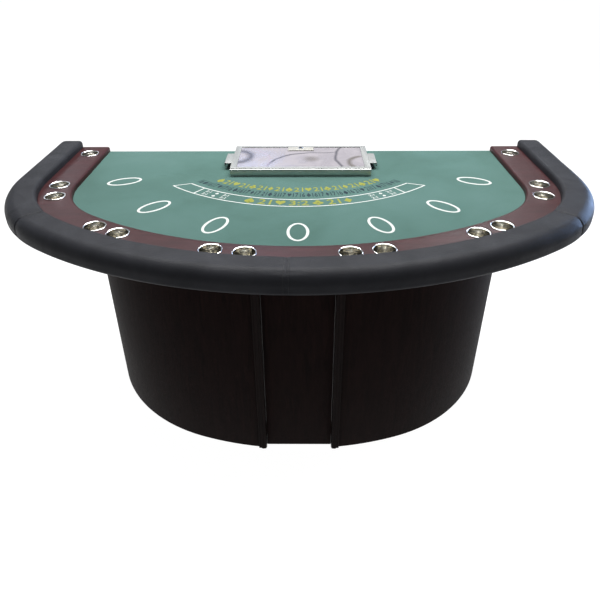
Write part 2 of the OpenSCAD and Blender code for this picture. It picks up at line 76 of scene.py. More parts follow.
class Recipe:
    """A material under construction, with short calls for the nodes it uses."""

    def __init__(self, name: str, place: Place = Place.OBJECT) -> None:
        """Starts an empty material.

        Args:
            name: The material's name.
            place: Whether textures follow the object or the swept "flow" attribute.
        """
        self.material = bpy.data.materials.new(name)
        self.material.use_nodes = True
        self.tree = self.material.node_tree
        self.shader = self.tree.nodes["Principled BSDF"]
        if place is Place.FLOW:
            source = self.tree.nodes.new("ShaderNodeAttribute")
            source.attribute_name = "flow"
            self.coords = source.outputs["Vector"]
        else:
            source = self.tree.nodes.new("ShaderNodeTexCoord")
            self.coords = source.outputs["Object"]

    def node(self, kind: str, **inputs: object) -> bpy.types.Node:
        """Adds a node and fills its inputs.

        Args:
            kind: The node's type name, without the ShaderNode prefix.
            **inputs: Input names, with underscores for spaces, to values or sockets.

        Returns:
            The new node.
        """
        made = self.tree.nodes.new("ShaderNode" + kind)
        for key, value in inputs.items():
            socket = made.inputs[key.replace("_", " ")]
            if isinstance(value, bpy.types.NodeSocket):
                self.tree.links.new(value, socket)
            else:
                socket.default_value = value
        return made

    def stretched(self, x: float, y: float, z: float) -> bpy.types.NodeSocket:
        """Texture coordinates scaled by x, y and z."""
        made = self.node("Mapping", Vector=self.coords, Scale=(x, y, z))
        return made.outputs["Vector"]

    def noise(self, scale: float, detail: float = 3.0, rough: float = 0.55,
              warp: float = 0.0, at: bpy.types.NodeSocket | None = None
              ) -> bpy.types.NodeSocket:
        """Smooth noise.

        Args:
            scale: Features per metre.
            detail: Number of finer layers.
            rough: Strength of the finer layers.
            warp: Distortion of the pattern.
            at: Coordinates to use in place of the plain ones.

        Returns:
            The noise's value, near 0.5 on average.
        """
        made = self.node("TexNoise", Vector=at or self.coords, Scale=scale,
                         Detail=detail, Roughness=rough, Distortion=warp)
        return made.outputs["Fac"]

    def cells(self, scale: float, at: bpy.types.NodeSocket | None = None
              ) -> bpy.types.NodeSocket:
        """Distance to the nearest point of a cell pattern."""
        made = self.node("TexVoronoi", Vector=at or self.coords, Scale=scale)
        return made.outputs["Distance"]

    def ramp(self, fac: bpy.types.NodeSocket, *stops: tuple[float, Colour]
             ) -> bpy.types.NodeSocket:
        """Colour looked up from a value.

        Args:
            fac: The value.
            *stops: Position and colour of each stop, in rising order.

        Returns:
            The colour.
        """
        made = self.node("ValToRGB", Fac=fac)
        ramp = made.color_ramp
        while len(ramp.elements) < len(stops):
            ramp.elements.new(0.5)
        for element, (position, colour) in zip(ramp.elements, stops):
            element.position = position
            element.color = rgba(colour)
        return made.outputs["Color"]

    def span(self, fac: bpy.types.NodeSocket, low: float, high: float,
             start: float = 0.0, stop: float = 1.0) -> bpy.types.NodeSocket:
        """The value fac, moved from the span start to stop onto low to high."""
        made = self.node("MapRange", Value=fac)
        made.inputs["From Min"].default_value = start
        made.inputs["From Max"].default_value = stop
        made.inputs["To Min"].default_value = low
        made.inputs["To Max"].default_value = high
        return made.outputs["Result"]

    def product(self, first: bpy.types.NodeSocket, second: bpy.types.NodeSocket
                ) -> bpy.types.NodeSocket:
        """The two values multiplied."""
        made = self.node("Math")
        made.operation = "MULTIPLY"
        self.tree.links.new(first, made.inputs[0])
        self.tree.links.new(second, made.inputs[1])
        return made.outputs["Value"]

    def blend(self, fac: bpy.types.NodeSocket | float,
              first: bpy.types.NodeSocket | Colour,
              second: bpy.types.NodeSocket | Colour,
              mode: str = "MIX") -> bpy.types.NodeSocket:
        """Mixes two colours.

        Args:
            fac: Share of the second colour.
            first: Colour or socket.
            second: Colour or socket.
            mode: Blender's name for the way of mixing.

        Returns:
            The mixed colour.
        """
        made = self.tree.nodes.new("ShaderNodeMix")
        made.data_type = "RGBA"
        made.blend_type = mode
        ends = {"Factor": fac, "A": first, "B": second}
        wanted = {"Factor": "VALUE", "A": "RGBA", "B": "RGBA"}
        for key, value in ends.items():
            socket = next(s for s in made.inputs
                          if s.name == key and s.type == wanted[key])
            if isinstance(value, bpy.types.NodeSocket):
                self.tree.links.new(value, socket)
            elif isinstance(value, tuple):
                socket.default_value = rgba(value)
            else:
                socket.default_value = value
        return next(s for s in made.outputs if s.type == "RGBA")

    def bump(self, height: bpy.types.NodeSocket, depth: float,
             under: bpy.types.NodeSocket | None = None) -> bpy.types.NodeSocket:
        """Surface relief.

        Args:
            height: Relief from 0 to 1.
            depth: Its depth in metres.
            under: Normal of a coarser relief below this one.

        Returns:
            The bumped normal.
        """
        made = self.node("Bump", Height=height, Strength=1.0, Distance=depth)
        if under is not None:
            self.tree.links.new(under, made.inputs["Normal"])
        return made.outputs["Normal"]

    def finish(self, **inputs: object) -> bpy.types.Material:
        """Fills the surface shader's inputs.

        Args:
            **inputs: Input names, with underscores for spaces, to values or sockets.

        Returns:
            The finished material.
        """
        for key, value in inputs.items():
            socket = self.shader.inputs[key.replace("_", " ")]
            if isinstance(value, bpy.types.NodeSocket):
                self.tree.links.new(value, socket)
            elif isinstance(value, tuple) and len(value) == 3 and socket.type == "RGBA":
                socket.default_value = rgba(value)
            else:
                socket.default_value = value
        return self.material


@dataclass(frozen=True)
class Felt:
    """Short-napped playing cloth."""

    name: str = "playing_felt"
    colour: Colour = (0.0315, 0.0675, 0.0585)
    worn: Colour = (0.0380, 0.076, 0.068)
    deep: Colour = (0.0240, 0.054, 0.0450)

    def material(self) -> bpy.types.Material:
        """Matted fibres, cloudy shading where the nap lies, and a soft sheen."""
        k = Recipe(self.name)
        clouds = k.noise(3.1, 4.0, 0.6, 0.4)
        fibre = k.noise(900.0, 4.0, 0.75, 1.5)
        tufts = k.noise(210.0, 3.0, 0.7)
        colour = k.ramp(clouds, (0.32, self.deep), (0.5, self.colour), (0.7, self.worn))
        colour = k.blend(k.span(fibre, 0.0, 0.34, 0.35, 0.75), colour, self.worn)
        colour = k.blend(k.span(tufts, 0.22, 0.0, 0.3, 0.6), colour, self.deep)
        normal = k.bump(tufts, 0.0005)
        normal = k.bump(fibre, 0.0004, normal)
        return k.finish(Base_Color=colour, Roughness=0.93, Normal=normal,
                        Specular_IOR_Level=0.10, Sheen_Weight=0.08,
                        Sheen_Roughness=0.5, Sheen_Tint=(0.75, 0.85, 0.85))


@dataclass(frozen=True)
class Ink:
    """Ink printed on the felt, with fibres that show through it."""

    name: str
    colour: Colour
    show_through: float = 0.25
    cloth: Colour = (0.0315, 0.0675, 0.0585)

    def material(self) -> bpy.types.Material:
        """Ink with fine fibre gaps and uneven cover."""
        k = Recipe(self.name)
        fibre = k.noise(900.0, 4.0, 0.75, 1.5)
        patches = k.noise(60.0, 3.0, 0.6)
        gaps = k.span(fibre, 0.0, self.show_through, 0.5, 0.8)
        colour = k.blend(gaps, self.colour, self.cloth)
        dim = tuple(0.82 * c for c in self.colour)
        colour = k.blend(k.span(patches, 0.0, 0.45, 0.45, 0.75), colour, dim)
        return k.finish(Base_Color=colour, Roughness=0.85,
                        Normal=k.bump(fibre, 0.0003), Specular_IOR_Level=0.2)


@dataclass(frozen=True)
class Timber:
    """Stained and lacquered wood with a long grain."""

    name: str
    dark: Colour
    light: Colour
    along: tuple[float, float, float] = (1.0, 9.0, 9.0)
    figure: float = 7.0
    gloss: float = 0.38
    shine: float = 0.4
    pores: float = 0.0002
    glaze: float = 0.0

    def material(self) -> bpy.types.Material:
        """Figured bands, fine streaks and open pores under a thin lacquer."""
        k = Recipe(self.name)
        flow = k.stretched(*self.along)
        bands = k.noise(self.figure, 5.0, 0.62, 1.3, flow)
        streaks = k.noise(self.figure * 9.0, 4.0, 0.7, 0.3, flow)
        pores = k.noise(self.figure * 34.0, 2.0, 0.8, 0.0, flow)
        mid = tuple(0.5 * (a + b) for a, b in zip(self.dark, self.light))
        colour = k.ramp(bands, (0.33, self.dark), (0.5, mid), (0.68, self.light))
        colour = k.blend(k.span(streaks, 0.0, 0.55, 0.42, 0.72), colour, self.dark)
        colour = k.blend(k.span(pores, 0.0, 0.35, 0.55, 0.8), colour, self.dark)
        rough = k.span(streaks, self.gloss - 0.05, self.gloss + 0.12, 0.3, 0.7)
        normal = k.bump(bands, self.pores * 1.5)
        normal = k.bump(pores, self.pores, normal)
        return k.finish(Base_Color=colour, Roughness=rough, Normal=normal,
                        Specular_IOR_Level=self.shine, Coat_Weight=self.glaze,
                        Coat_Roughness=0.28)


@dataclass(frozen=True)
class Plywood:
    """Raw plywood with veneer layers that show on its edges."""

    name: str = "plywood"
    face: Colour = (0.52, 0.38, 0.23)
    glue: Colour = (0.27, 0.17, 0.09)
    layers: float = 330.0

    def material(self) -> bpy.types.Material:
        """Grained faces, and stripes of veneer across the thickness."""
        k = Recipe(self.name)
        grain = k.noise(30.0, 5.0, 0.6, 0.8, k.stretched(0.5, 5.0, 2.0))
        heights = k.node("SeparateXYZ", Vector=k.coords).outputs["Z"]
        wave = k.node("Math")
        wave.operation = "SINE"
        scaled = k.node("Math")
        scaled.operation = "MULTIPLY"
        k.tree.links.new(heights, scaled.inputs[0])
        scaled.inputs[1].default_value = self.layers * math.tau
        k.tree.links.new(scaled.outputs[0], wave.inputs[0])
        light = tuple(min(1.0, 1.22 * c) for c in self.face)
        colour = k.ramp(grain, (0.3, self.face), (0.7, light))
        colour = k.blend(k.span(wave.outputs[0], 0.0, 0.45, 0.1, 0.9), colour, self.glue)
        return k.finish(Base_Color=colour, Roughness=k.span(grain, 0.55, 0.75),
                        Normal=k.bump(grain, 0.0003), Specular_IOR_Level=0.3)


@dataclass(frozen=True)
class Vinyl:
    """Upholstery vinyl with a pebbled grain."""

    name: str = "armrest_vinyl"
    colour: Colour = (0.0110, 0.0114, 0.0132)
    rubbed: Colour = (0.0175, 0.0180, 0.0208)

    def material(self) -> bpy.types.Material:
        """Leather-like pebbles, pores and patches where arms have rubbed it."""
        k = Recipe(self.name, Place.FLOW)
        wobble = k.noise(260.0, 2.0, 0.5)
        flow = k.node("VectorMath")
        flow.operation = "MULTIPLY_ADD"
        k.tree.links.new(wobble, flow.inputs[0])
        flow.inputs[1].default_value = (0.0022, 0.0022, 0.0022)
        k.tree.links.new(k.coords, flow.inputs[2])
        pebble = k.cells(520.0, flow.outputs["Vector"])
        pores = k.noise(1900.0, 3.0, 0.7)
        rub = k.noise(9.0, 4.0, 0.6, 0.5)
        creases = k.noise(70.0, 4.0, 0.7, 1.2)
        colour = k.ramp(rub, (0.35, self.colour), (0.72, self.rubbed))
        colour = k.blend(k.span(pebble, 0.0, 0.35, 0.25, 0.6), colour, self.rubbed)
        normal = k.bump(creases, 0.0007)
        normal = k.bump(pebble, 0.00042, normal)
        normal = k.bump(pores, 0.00012, normal)
        rough = k.span(rub, 0.50, 0.38, 0.35, 0.7)
        return k.finish(Base_Color=colour, Roughness=rough, Normal=normal,
                        IOR=1.25, Specular_IOR_Level=0.16)


@dataclass(frozen=True)
class Metal:
    """Bare metal with a brushed or polished surface."""

    name: str
    colour: Colour
    rough: float
    brushed: tuple[float, float, float] = (1.0, 1.0, 1.0)
    scratch: float = 0.00004
    tarnish: float = 0.12
    metallic: float = 1.0

    def material(self) -> bpy.types.Material:
        """Brush lines along one direction, smears and small scratches."""
        k = Recipe(self.name)
        lines = k.noise(900.0, 3.0, 0.7, 0.0, k.stretched(*self.brushed))
        smears = k.noise(22.0, 4.0, 0.6, 0.8)
        dull = tuple(c * (1.0 - self.tarnish) for c in self.colour)
        colour = k.ramp(smears, (0.36, self.colour), (0.66, dull))
        low = max(0.03, self.rough - 0.06)
        rough = k.span(lines, low, self.rough + 0.1, 0.3, 0.7)
        return k.finish(Base_Color=colour, Metallic=self.metallic, Roughness=rough,
                        Normal=k.bump(lines, self.scratch))


@dataclass(frozen=True)
class ReflectionSweep:
    """A curved sweep of painted reflection on a polished plate.

    Args:
        centre: Centre of its arc.
        radius: Radius of the arc.
        width: Width from the arc's line to where the mark is gone.
        reach: Range of x in which it shows.
        colour: Its colour.
        strength: Its cover on the arc's line.
    """

    centre: Point
    radius: float
    width: float
    reach: Point
    colour: Colour
    strength: float


@dataclass(frozen=True)
class PolishedPlate:
    """Polished plate whose colour carries painted reflections: curved dark sweeps and hazy
    bands.
    """

    name: str = "lid_plate"
    # These colours are painted reflection: the pale ceiling mirrored in the plate, its
    # hazy bands, and the darker sweeps and blotches.
    bright: Colour = (0.36, 0.335, 0.36)
    reflected_dark: Colour = (0.050, 0.050, 0.066)
    reflected_haze: Colour = (0.27, 0.252, 0.275)

    warm: Colour = (0.105, 0.092, 0.078)
    pink: Colour = (0.34, 0.27, 0.31)

    wobble: float = 0.016
    fade_in: Point = (-0.008, 0.012)
    fade_out: Point = (-0.004, 0.016)

    def marks(self) -> list[ReflectionSweep]:
        """The painted reflection sweeps, at their places on the lid."""
        return [ReflectionSweep((0.060, 0.280), 0.190, 0.009, (-0.124, 0.040), self.reflected_dark, 1.0),
                ReflectionSweep((0.450, 0.410), 0.300, 0.010, (0.140, 0.190), self.reflected_dark, 0.9),
                ReflectionSweep((0.100, 0.900), 0.430, 0.008, (0.045, 0.146), self.reflected_dark, 0.8),
                ReflectionSweep((0.275, 0.345), 0.075, 0.018, (0.190, 0.260), self.warm, 0.9),
                ReflectionSweep((-0.270, 0.420), 0.072, 0.030, (-0.250, -0.180), self.reflected_dark,
                         0.9),
                ReflectionSweep((0.050, 0.390), 0.010, 0.034, (0.000, 0.090), self.warm, 0.6),
                ReflectionSweep((-0.300, 0.370), 0.180, 0.008, (-0.200, -0.110), self.pink,
                         0.5)]

    def cover(self, k: Recipe, mark: ReflectionSweep, flat: bpy.types.NodeSocket,
              across: bpy.types.NodeSocket) -> bpy.types.NodeSocket:
        """How much of the plate a mark covers.

        Args:
            k: The plate's material.
            mark: The mark.
            flat: Wobbling plan coordinates.
            across: Their x.

        Returns:
            The cover, from 0 to the mark's strength.
        """
        shift = self.wobble / 2
        reach = k.node("VectorMath")
        reach.operation = "DISTANCE"
        k.tree.links.new(flat, reach.inputs[0])
        reach.inputs[1].default_value = (mark.centre[0] + shift, mark.centre[1] + shift,
                                         0.0)
        distance = reach.outputs["Value"]
        start, stop = mark.reach
        line = k.product(
            k.span(distance, 0.0, mark.strength, mark.radius - mark.width, mark.radius),
            k.span(distance, 1.0, 0.0, mark.radius, mark.radius + mark.width))
        line = k.product(line, k.span(across, 0.0, 1.0, start + self.fade_in[0],
                                      start + self.fade_in[1]))
        return k.product(line, k.span(across, 1.0, 0.0, stop + self.fade_out[0],
                                      stop + self.fade_out[1]))

    def material(self) -> bpy.types.Material:
        """Painted reflections: curved grey sweeps, each at its own place, and hazy bands
        over the plate.
        """
        k = Recipe(self.name)
        reflected_haze = k.noise(8.5, 3.0, 0.6, 1.6, k.stretched(1.0, 0.6, 1.0))
        streaks = k.noise(120.0, 3.0, 0.6, 0.0, k.stretched(0.25, 2.4, 1.0))
        colour = k.ramp(reflected_haze, (0.40, self.bright), (0.60, self.reflected_haze))
        bend = k.node("TexNoise", Vector=k.coords, Scale=14.0, Detail=1.0)
        bent = k.node("VectorMath")
        bent.operation = "MULTIPLY_ADD"
        k.tree.links.new(bend.outputs["Color"], bent.inputs[0])
        bent.inputs[1].default_value = (self.wobble, self.wobble, 0.0)
        k.tree.links.new(k.stretched(1.0, 1.0, 0.0), bent.inputs[2])
        flat = bent.outputs["Vector"]
        across = k.node("SeparateXYZ", Vector=flat).outputs["X"]
        # Each sweep paints a reflection into the plate's colour.
        for mark in self.marks():
            colour = k.blend(self.cover(k, mark, flat, across), colour, mark.colour)
        colour = k.blend(k.span(streaks, 0.0, 0.25, 0.45, 0.7), colour, self.reflected_haze)
        rough = k.span(reflected_haze, 0.14, 0.3, 0.35, 0.65)
        return k.finish(Base_Color=colour, Metallic=0.55, Roughness=rough,
                        Normal=k.bump(streaks, 0.00008))


@dataclass(frozen=True)
class Moulded:
    """Moulded rubber or plastic."""

    name: str
    colour: Colour
    rough: float = 0.7

    def material(self) -> bpy.types.Material:
        """Fine spark-eroded grain with dust in its low spots."""
        k = Recipe(self.name)
        grain = k.noise(1400.0, 2.0, 0.6)
        dust = k.noise(40.0, 4.0, 0.7)
        pale = tuple(min(1.0, 1.8 * c + 0.01) for c in self.colour)
        colour = k.blend(k.span(dust, 0.0, 0.5, 0.5, 0.8), self.colour, pale)
        return k.finish(Base_Color=colour, Normal=k.bump(grain, 0.0002),
                        Roughness=k.span(dust, self.rough - 0.1, self.rough + 0.1),
                        Specular_IOR_Level=0.35)


@dataclass(frozen=True)
class Foam:
    """Open-cell or closed-cell foam."""

    name: str
    colour: Colour

    def material(self) -> bpy.types.Material:
        """Small cells and yellowed patches."""
        k = Recipe(self.name)
        cell = k.cells(700.0)
        age = k.noise(12.0, 3.0, 0.6)
        old = (self.colour[0] * 0.85, self.colour[1] * 0.78, self.colour[2] * 0.6)
        colour = k.blend(k.span(age, 0.0, 0.7, 0.4, 0.7), self.colour, old)
        return k.finish(Base_Color=colour, Roughness=0.95,
                        Normal=k.bump(cell, 0.0006), Specular_IOR_Level=0.1)


FELT = Felt()
WHITE_INK = Ink("white_ink", (0.29, 0.30, 0.29), 0.12)
GOLD_INK = Ink("gold_ink", (0.120, 0.125, 0.018), 0.30)
NAVY_INK = Ink("navy_ink", (0.0020, 0.0105, 0.016), 0.08)
MAHOGANY = Timber("mahogany", (0.0125, 0.0028, 0.0032), (0.0300, 0.0070, 0.0080),
                  gloss=0.36, shine=0.14, glaze=0.03)
ESPRESSO = Timber("espresso_panel", (0.0030, 0.0012, 0.0011), (0.0085, 0.0034, 0.0030),
                  (9.0, 9.0, 1.0), 6.0, 0.58, 0.035)
ESPRESSO_RAIL = Timber("espresso_rail", (0.0030, 0.0012, 0.0011),
                       (0.0085, 0.0034, 0.0030), (1.0, 9.0, 9.0), 6.0, 0.58, 0.04)
ESPRESSO_POST = Timber("espresso_post", (0.0025, 0.0011, 0.0010),
                       (0.0070, 0.0030, 0.0026), (9.0, 9.0, 1.0), 8.0, 0.50, 0.05)
PLYWOOD = Plywood()
VINYL = Vinyl()
THREAD = Moulded("black_thread", (0.012, 0.012, 0.013), 0.6)
CUP_STEEL = Metal("cup_steel", (0.62, 0.60, 0.54), 0.17, (1.0, 1.0, 0.05), tarnish=0.25)
RIM_STEEL = Metal("rim_steel", (0.90, 0.90, 0.89), 0.10, tarnish=0.03)
# The case sheet's slight green tint is a painted reflection of the felt.
CASE_SHEET = Metal("case_sheet", (0.50, 0.54, 0.51), 0.33, (1.0, 1.0, 0.04), 0.00003)
ROW_SHEET = Metal("row_sheet", (0.62, 0.62, 0.62), 0.36, (1.0, 0.05, 1.0))
BRIGHT_SHEET = Metal("bright_sheet", (0.165, 0.170, 0.167), 0.50, (0.06, 1.0, 1.0),
                     metallic=0.45, tarnish=0.08)
LOCK_SHEET = Metal("lock_sheet", (0.225, 0.220, 0.200), 0.50, (0.06, 1.0, 1.0),
                   metallic=0.45, tarnish=0.05)
CHROME = Metal("chrome", (0.72, 0.72, 0.71), 0.12, tarnish=0.1)
DARK_STEEL = Metal("dark_steel", (0.045, 0.045, 0.048), 0.35, tarnish=0.3)
ZINC = Metal("zinc", (0.50, 0.50, 0.47), 0.42, tarnish=0.25)
BRASS = Metal("brass", (0.62, 0.45, 0.18), 0.32, tarnish=0.3)
RUBBER = Moulded("foot_rubber", (0.010, 0.010, 0.010), 0.75)
PAD_RUBBER = Moulded("pad_rubber", (0.030, 0.030, 0.030), 0.8)
UNDERLAY_FOAM = Foam("underlay_foam", (0.72, 0.70, 0.60))

Finish = (Felt | Ink | Timber | Plywood | Vinyl | Metal | PolishedPlate | Moulded
          | Foam)
_MADE: dict[str, bpy.types.Material] = {}


def coat(finish: Finish) -> bpy.types.Material:
    """The finish's material, made once however many pieces use it."""
    if finish.name not in _MADE:
        _MADE[finish.name] = finish.material()
    return _MADE[finish.name]


# ---- Mesh helpers ------------------------------------------------------------


def dress(node: str, finish: Finish) -> None:
    """Gives a CAD node's mesh one finish."""
    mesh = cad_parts[node].data
    mesh.materials.clear()
    mesh.materials.append(coat(finish))


def place(mesh: bpy.types.Mesh, name: str, body: str, slot: str,
          *finishes: Finish) -> bpy.types.Object:
    """Makes a piece from a mesh.

    Args:
        mesh: The piece's mesh, in the frame's coordinates.
        name: The piece's name.
        body: The body it moves with.
        slot: Not used.
        *finishes: Its finishes, in the order of the mesh's material indices.

    Returns:
        The new object.
    """
    for finish in finishes:
        mesh.materials.append(coat(finish))
    piece = bpy.data.objects.new(name, mesh)
    bpy.context.scene.collection.objects.link(piece)
    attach(piece, body)
    return piece


def from_bmesh(bm: bmesh.types.BMesh, name: str, sharp: float = 35.0) -> bpy.types.Mesh:
    """Turns a bmesh into a smooth-shaded mesh with sharp edges over an angle.

    Args:
        bm: The geometry, which is freed.
        name: The mesh's name.
        sharp: Angle in degrees from which an edge stays sharp.

    Returns:
        The mesh.
    """
    bmesh.ops.recalc_face_normals(bm, faces=bm.faces)
    for face in bm.faces:
        face.smooth = True
    for edge in bm.edges:
        if len(edge.link_faces) == 2:
            edge.smooth = edge.calc_face_angle(0.0) < math.radians(sharp)
    mesh = bpy.data.meshes.new(name)
    bm.to_mesh(mesh)
    bm.free()
    return mesh


def softened(node: str, width: float, steps: int = 2, corner: float = 40.0
             ) -> bpy.types.Mesh:
    """A copy of a CAD node's mesh with its sharp edges rounded.

    Args:
        node: The CAD node.
        width: Width of the rounding.
        steps: Faces across the rounding.
        corner: Angle in degrees from which an edge is rounded.

    Returns:
        The rounded mesh.
    """
    bm = bmesh.new()
    bm.from_mesh(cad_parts[node].data)
    bmesh.ops.remove_doubles(bm, verts=bm.verts, dist=2e-5)
    bmesh.ops.dissolve_limit(bm, angle_limit=math.radians(0.5), verts=bm.verts,
                             edges=bm.edges)
    limit = math.radians(corner)
    edges = [e for e in bm.edges
             if len(e.link_faces) == 2 and e.calc_face_angle(0.0) > limit]
    bmesh.ops.bevel(bm, geom=edges, offset=width, segments=steps, profile=0.5,
                    affect="EDGES", clamp_overlap=True)
    return from_bmesh(bm, node + "_soft")


def swap(node: str, body: str, slot: str, finish: Finish, width: float,
         steps: int = 2) -> bpy.types.Object:
    """Stands a rounded copy in for a CAD node."""
    piece = place(softened(node, width, steps), node + "_trimmed", body, slot, finish)
    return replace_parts(piece, node)


def arc(cx: float, cy: float, r: float, a0: float, a1: float, n: int) -> list[Point]:
    """Points along an arc.

    Args:
        cx: Centre, first coordinate.
        cy: Centre, second coordinate.
        r: Radius.
        a0: First angle in degrees.
        a1: Last angle in degrees.
        n: Number of steps.

    Returns:
        The n + 1 points.
    """
    angles = [math.radians(a0 + (a1 - a0) * i / n) for i in range(n + 1)]
    return [(cx + r * math.cos(a), cy + r * math.sin(a)) for a in angles]


def lathe(profile: list[Point], at: Point, steps: int, name: str,
          bands: list[int] | None = None) -> bpy.types.Mesh:
    """Turns a profile about an upright axis.

    Args:
        profile: Radius and height of each point; the first and last may be on the axis.
        at: The axis's place.
        steps: Faces round the turn.
        name: The mesh's name.
        bands: Material index of each stretch of the profile.

    Returns:
        The turned mesh.
    """
    bm = bmesh.new()
    rings: list[list[bmesh.types.BMVert]] = []
    for r, z in profile:
        count = 1 if r < 1e-6 else steps
        rings.append([bm.verts.new((at[0] + r * math.cos(math.tau * i / steps),
                                    at[1] + r * math.sin(math.tau * i / steps), z))
                      for i in range(count)])
    for index, (low, high) in enumerate(zip(rings, rings[1:])):
        for i in range(steps):
            j = (i + 1) % steps
            corners = {low[i % len(low)]: None, low[j % len(low)]: None,
                       high[j % len(high)]: None, high[i % len(high)]: None}
            face = bm.faces.new(list(corners))
            face.material_index = bands[index] if bands else 0
    return from_bmesh(bm, name)


# ---- Outlines and sweeps -----------------------------------------------------


@dataclass(frozen=True)
class Station:
    """A place on an outline.

    Args:
        point: Its position.
        normal: The outward direction there.
    """

    point: Vector
    normal: Vector

    def at(self, out: float, z: float) -> Vector:
        """The point a distance outward from the outline, at a height."""
        flat = self.point + self.normal * out
        return Vector((flat.x, flat.y, z))


@dataclass(frozen=True)
class Outline:
    """Half-round outline of straight sides, corner arcs and a long front arc.

    Args:
        half: Half of the width.
        corner: Radius of the corners.
        front: Radius of the front arc.
        front_y: Front of the outline.
        rear_y: Ends of the straight sides.
    """

    half: float
    corner: float
    front: float
    front_y: float
    rear_y: float

    @property
    def corner_x(self) -> float:
        """Distance of the corner centres from the middle."""
        return self.half - self.corner

    @property
    def front_cy(self) -> float:
        """Front arc's centre."""
        return self.front_y + self.front

    @property
    def corner_cy(self) -> float:
        """The corner arcs' centres, from front to back."""
        return self.front_cy - math.sqrt((self.front - self.corner) ** 2
                                         - self.corner_x ** 2)

    @property
    def turn(self) -> float:
        """Angle round a corner arc, from the side to the front arc."""
        return math.atan2(self.front_cy - self.corner_cy, self.corner_x)

    @property
    def runs(self) -> tuple[float, float, float]:
        """Lengths of a side, a corner and half of the front."""
        return (self.rear_y - self.corner_cy, self.corner * self.turn,
                self.front * (math.pi / 2 - self.turn))

    @property
    def length(self) -> float:
        """Length of half of the outline."""
        return sum(self.runs)

    def station(self, s: float) -> Station:
        """The place a signed distance from the middle of the front, + to the right."""
        _, corner, front = self.runs
        sign = -1.0 if s < 0.0 else 1.0
        along = abs(s)
        if along <= front:
            a = along / self.front
            normal = Vector((sign * math.sin(a), -math.cos(a)))
            point = Vector((0.0, self.front_cy)) + normal * self.front
        elif along <= front + corner:
            a = math.pi / 2 - self.turn + (along - front) / self.corner
            normal = Vector((sign * math.sin(a), -math.cos(a)))
            point = Vector((sign * self.corner_x, self.corner_cy)) + normal * self.corner
        else:
            normal = Vector((sign, 0.0))
            point = Vector((sign * self.half, self.corner_cy + along - front - corner))
        return Station(point, normal)

    def stations(self, s0: float, s1: float, step: float) -> list[Station]:
        """Evenly spaced stations from s0 to s1."""
        count = max(2, math.ceil(abs(s1 - s0) / step))
        return [self.station(s0 + (s1 - s0) * i / count) for i in range(count + 1)]

    def flow(self, x: float, y: float) -> tuple[float, float]:
        """Distance along and distance in from the outline, of any point near it."""
        _, corner, front = self.runs
        sign = -1.0 if x < 0.0 else 1.0
        across = abs(x)
        if y >= self.corner_cy:
            return sign * (front + corner + y - self.corner_cy), self.half - across
        angle = math.atan2(across - self.corner_x, self.corner_cy - y)
        start = math.pi / 2 - self.turn
        if angle > start:
            reach = math.hypot(across - self.corner_x, self.corner_cy - y)
            return (sign * (front + (angle - start) * self.corner),
                    self.corner - reach)
        angle = math.atan2(across, self.front_cy - y)
        reach = math.hypot(across, self.front_cy - y)
        return sign * angle * self.front, self.front - reach


TOP = Outline(1.067, 0.587, 1.387, -0.590, 0.590)
FELT_TOP = 0.880
DECK_TOP = 0.8725
DECK_LOW = 0.8565


def set_flow(mesh: bpy.types.Mesh, outline: Outline = TOP) -> bpy.types.Mesh:
    """Stores distance along, distance in and height on each vertex, for the grain."""
    values: list[float] = []
    for vertex in mesh.vertices:
        along, inset = outline.flow(vertex.co.x, vertex.co.y)
        values.extend((along, inset, vertex.co.z))
    layer = mesh.attributes.new("flow", "FLOAT_VECTOR", "POINT")
    layer.data.foreach_set("vector", values)
    return mesh


def sweep(stations: list[Station], sections: list[list[Point]], closed: bool = True
          ) -> bmesh.types.BMesh:
    """Joins one section per station into a swept surface.

    Args:
        stations: Places along the outline.
        sections: For each station, (distance outward, height) of the section's points.
        closed: Whether the section's last point joins its first.

    Returns:
        The surface, with open ends.
    """
    bm = bmesh.new()
    rings = [[bm.verts.new(station.at(*p)) for p in section]
             for station, section in zip(stations, sections)]
    for low, high in zip(rings, rings[1:]):
        count = len(low) if closed else len(low) - 1
        for j in range(count):
            k = (j + 1) % len(low)
            bm.faces.new((low[j], low[k], high[k], high[j]))
    return bm


# ---- Armrest -----------------------------------------------------------------


@dataclass(frozen=True)
class ProfilePoint:
    """A point of the armrest's section: place, outward direction and girth so far."""

    x: float
    z: float
    nx: float
    nz: float
    v: float


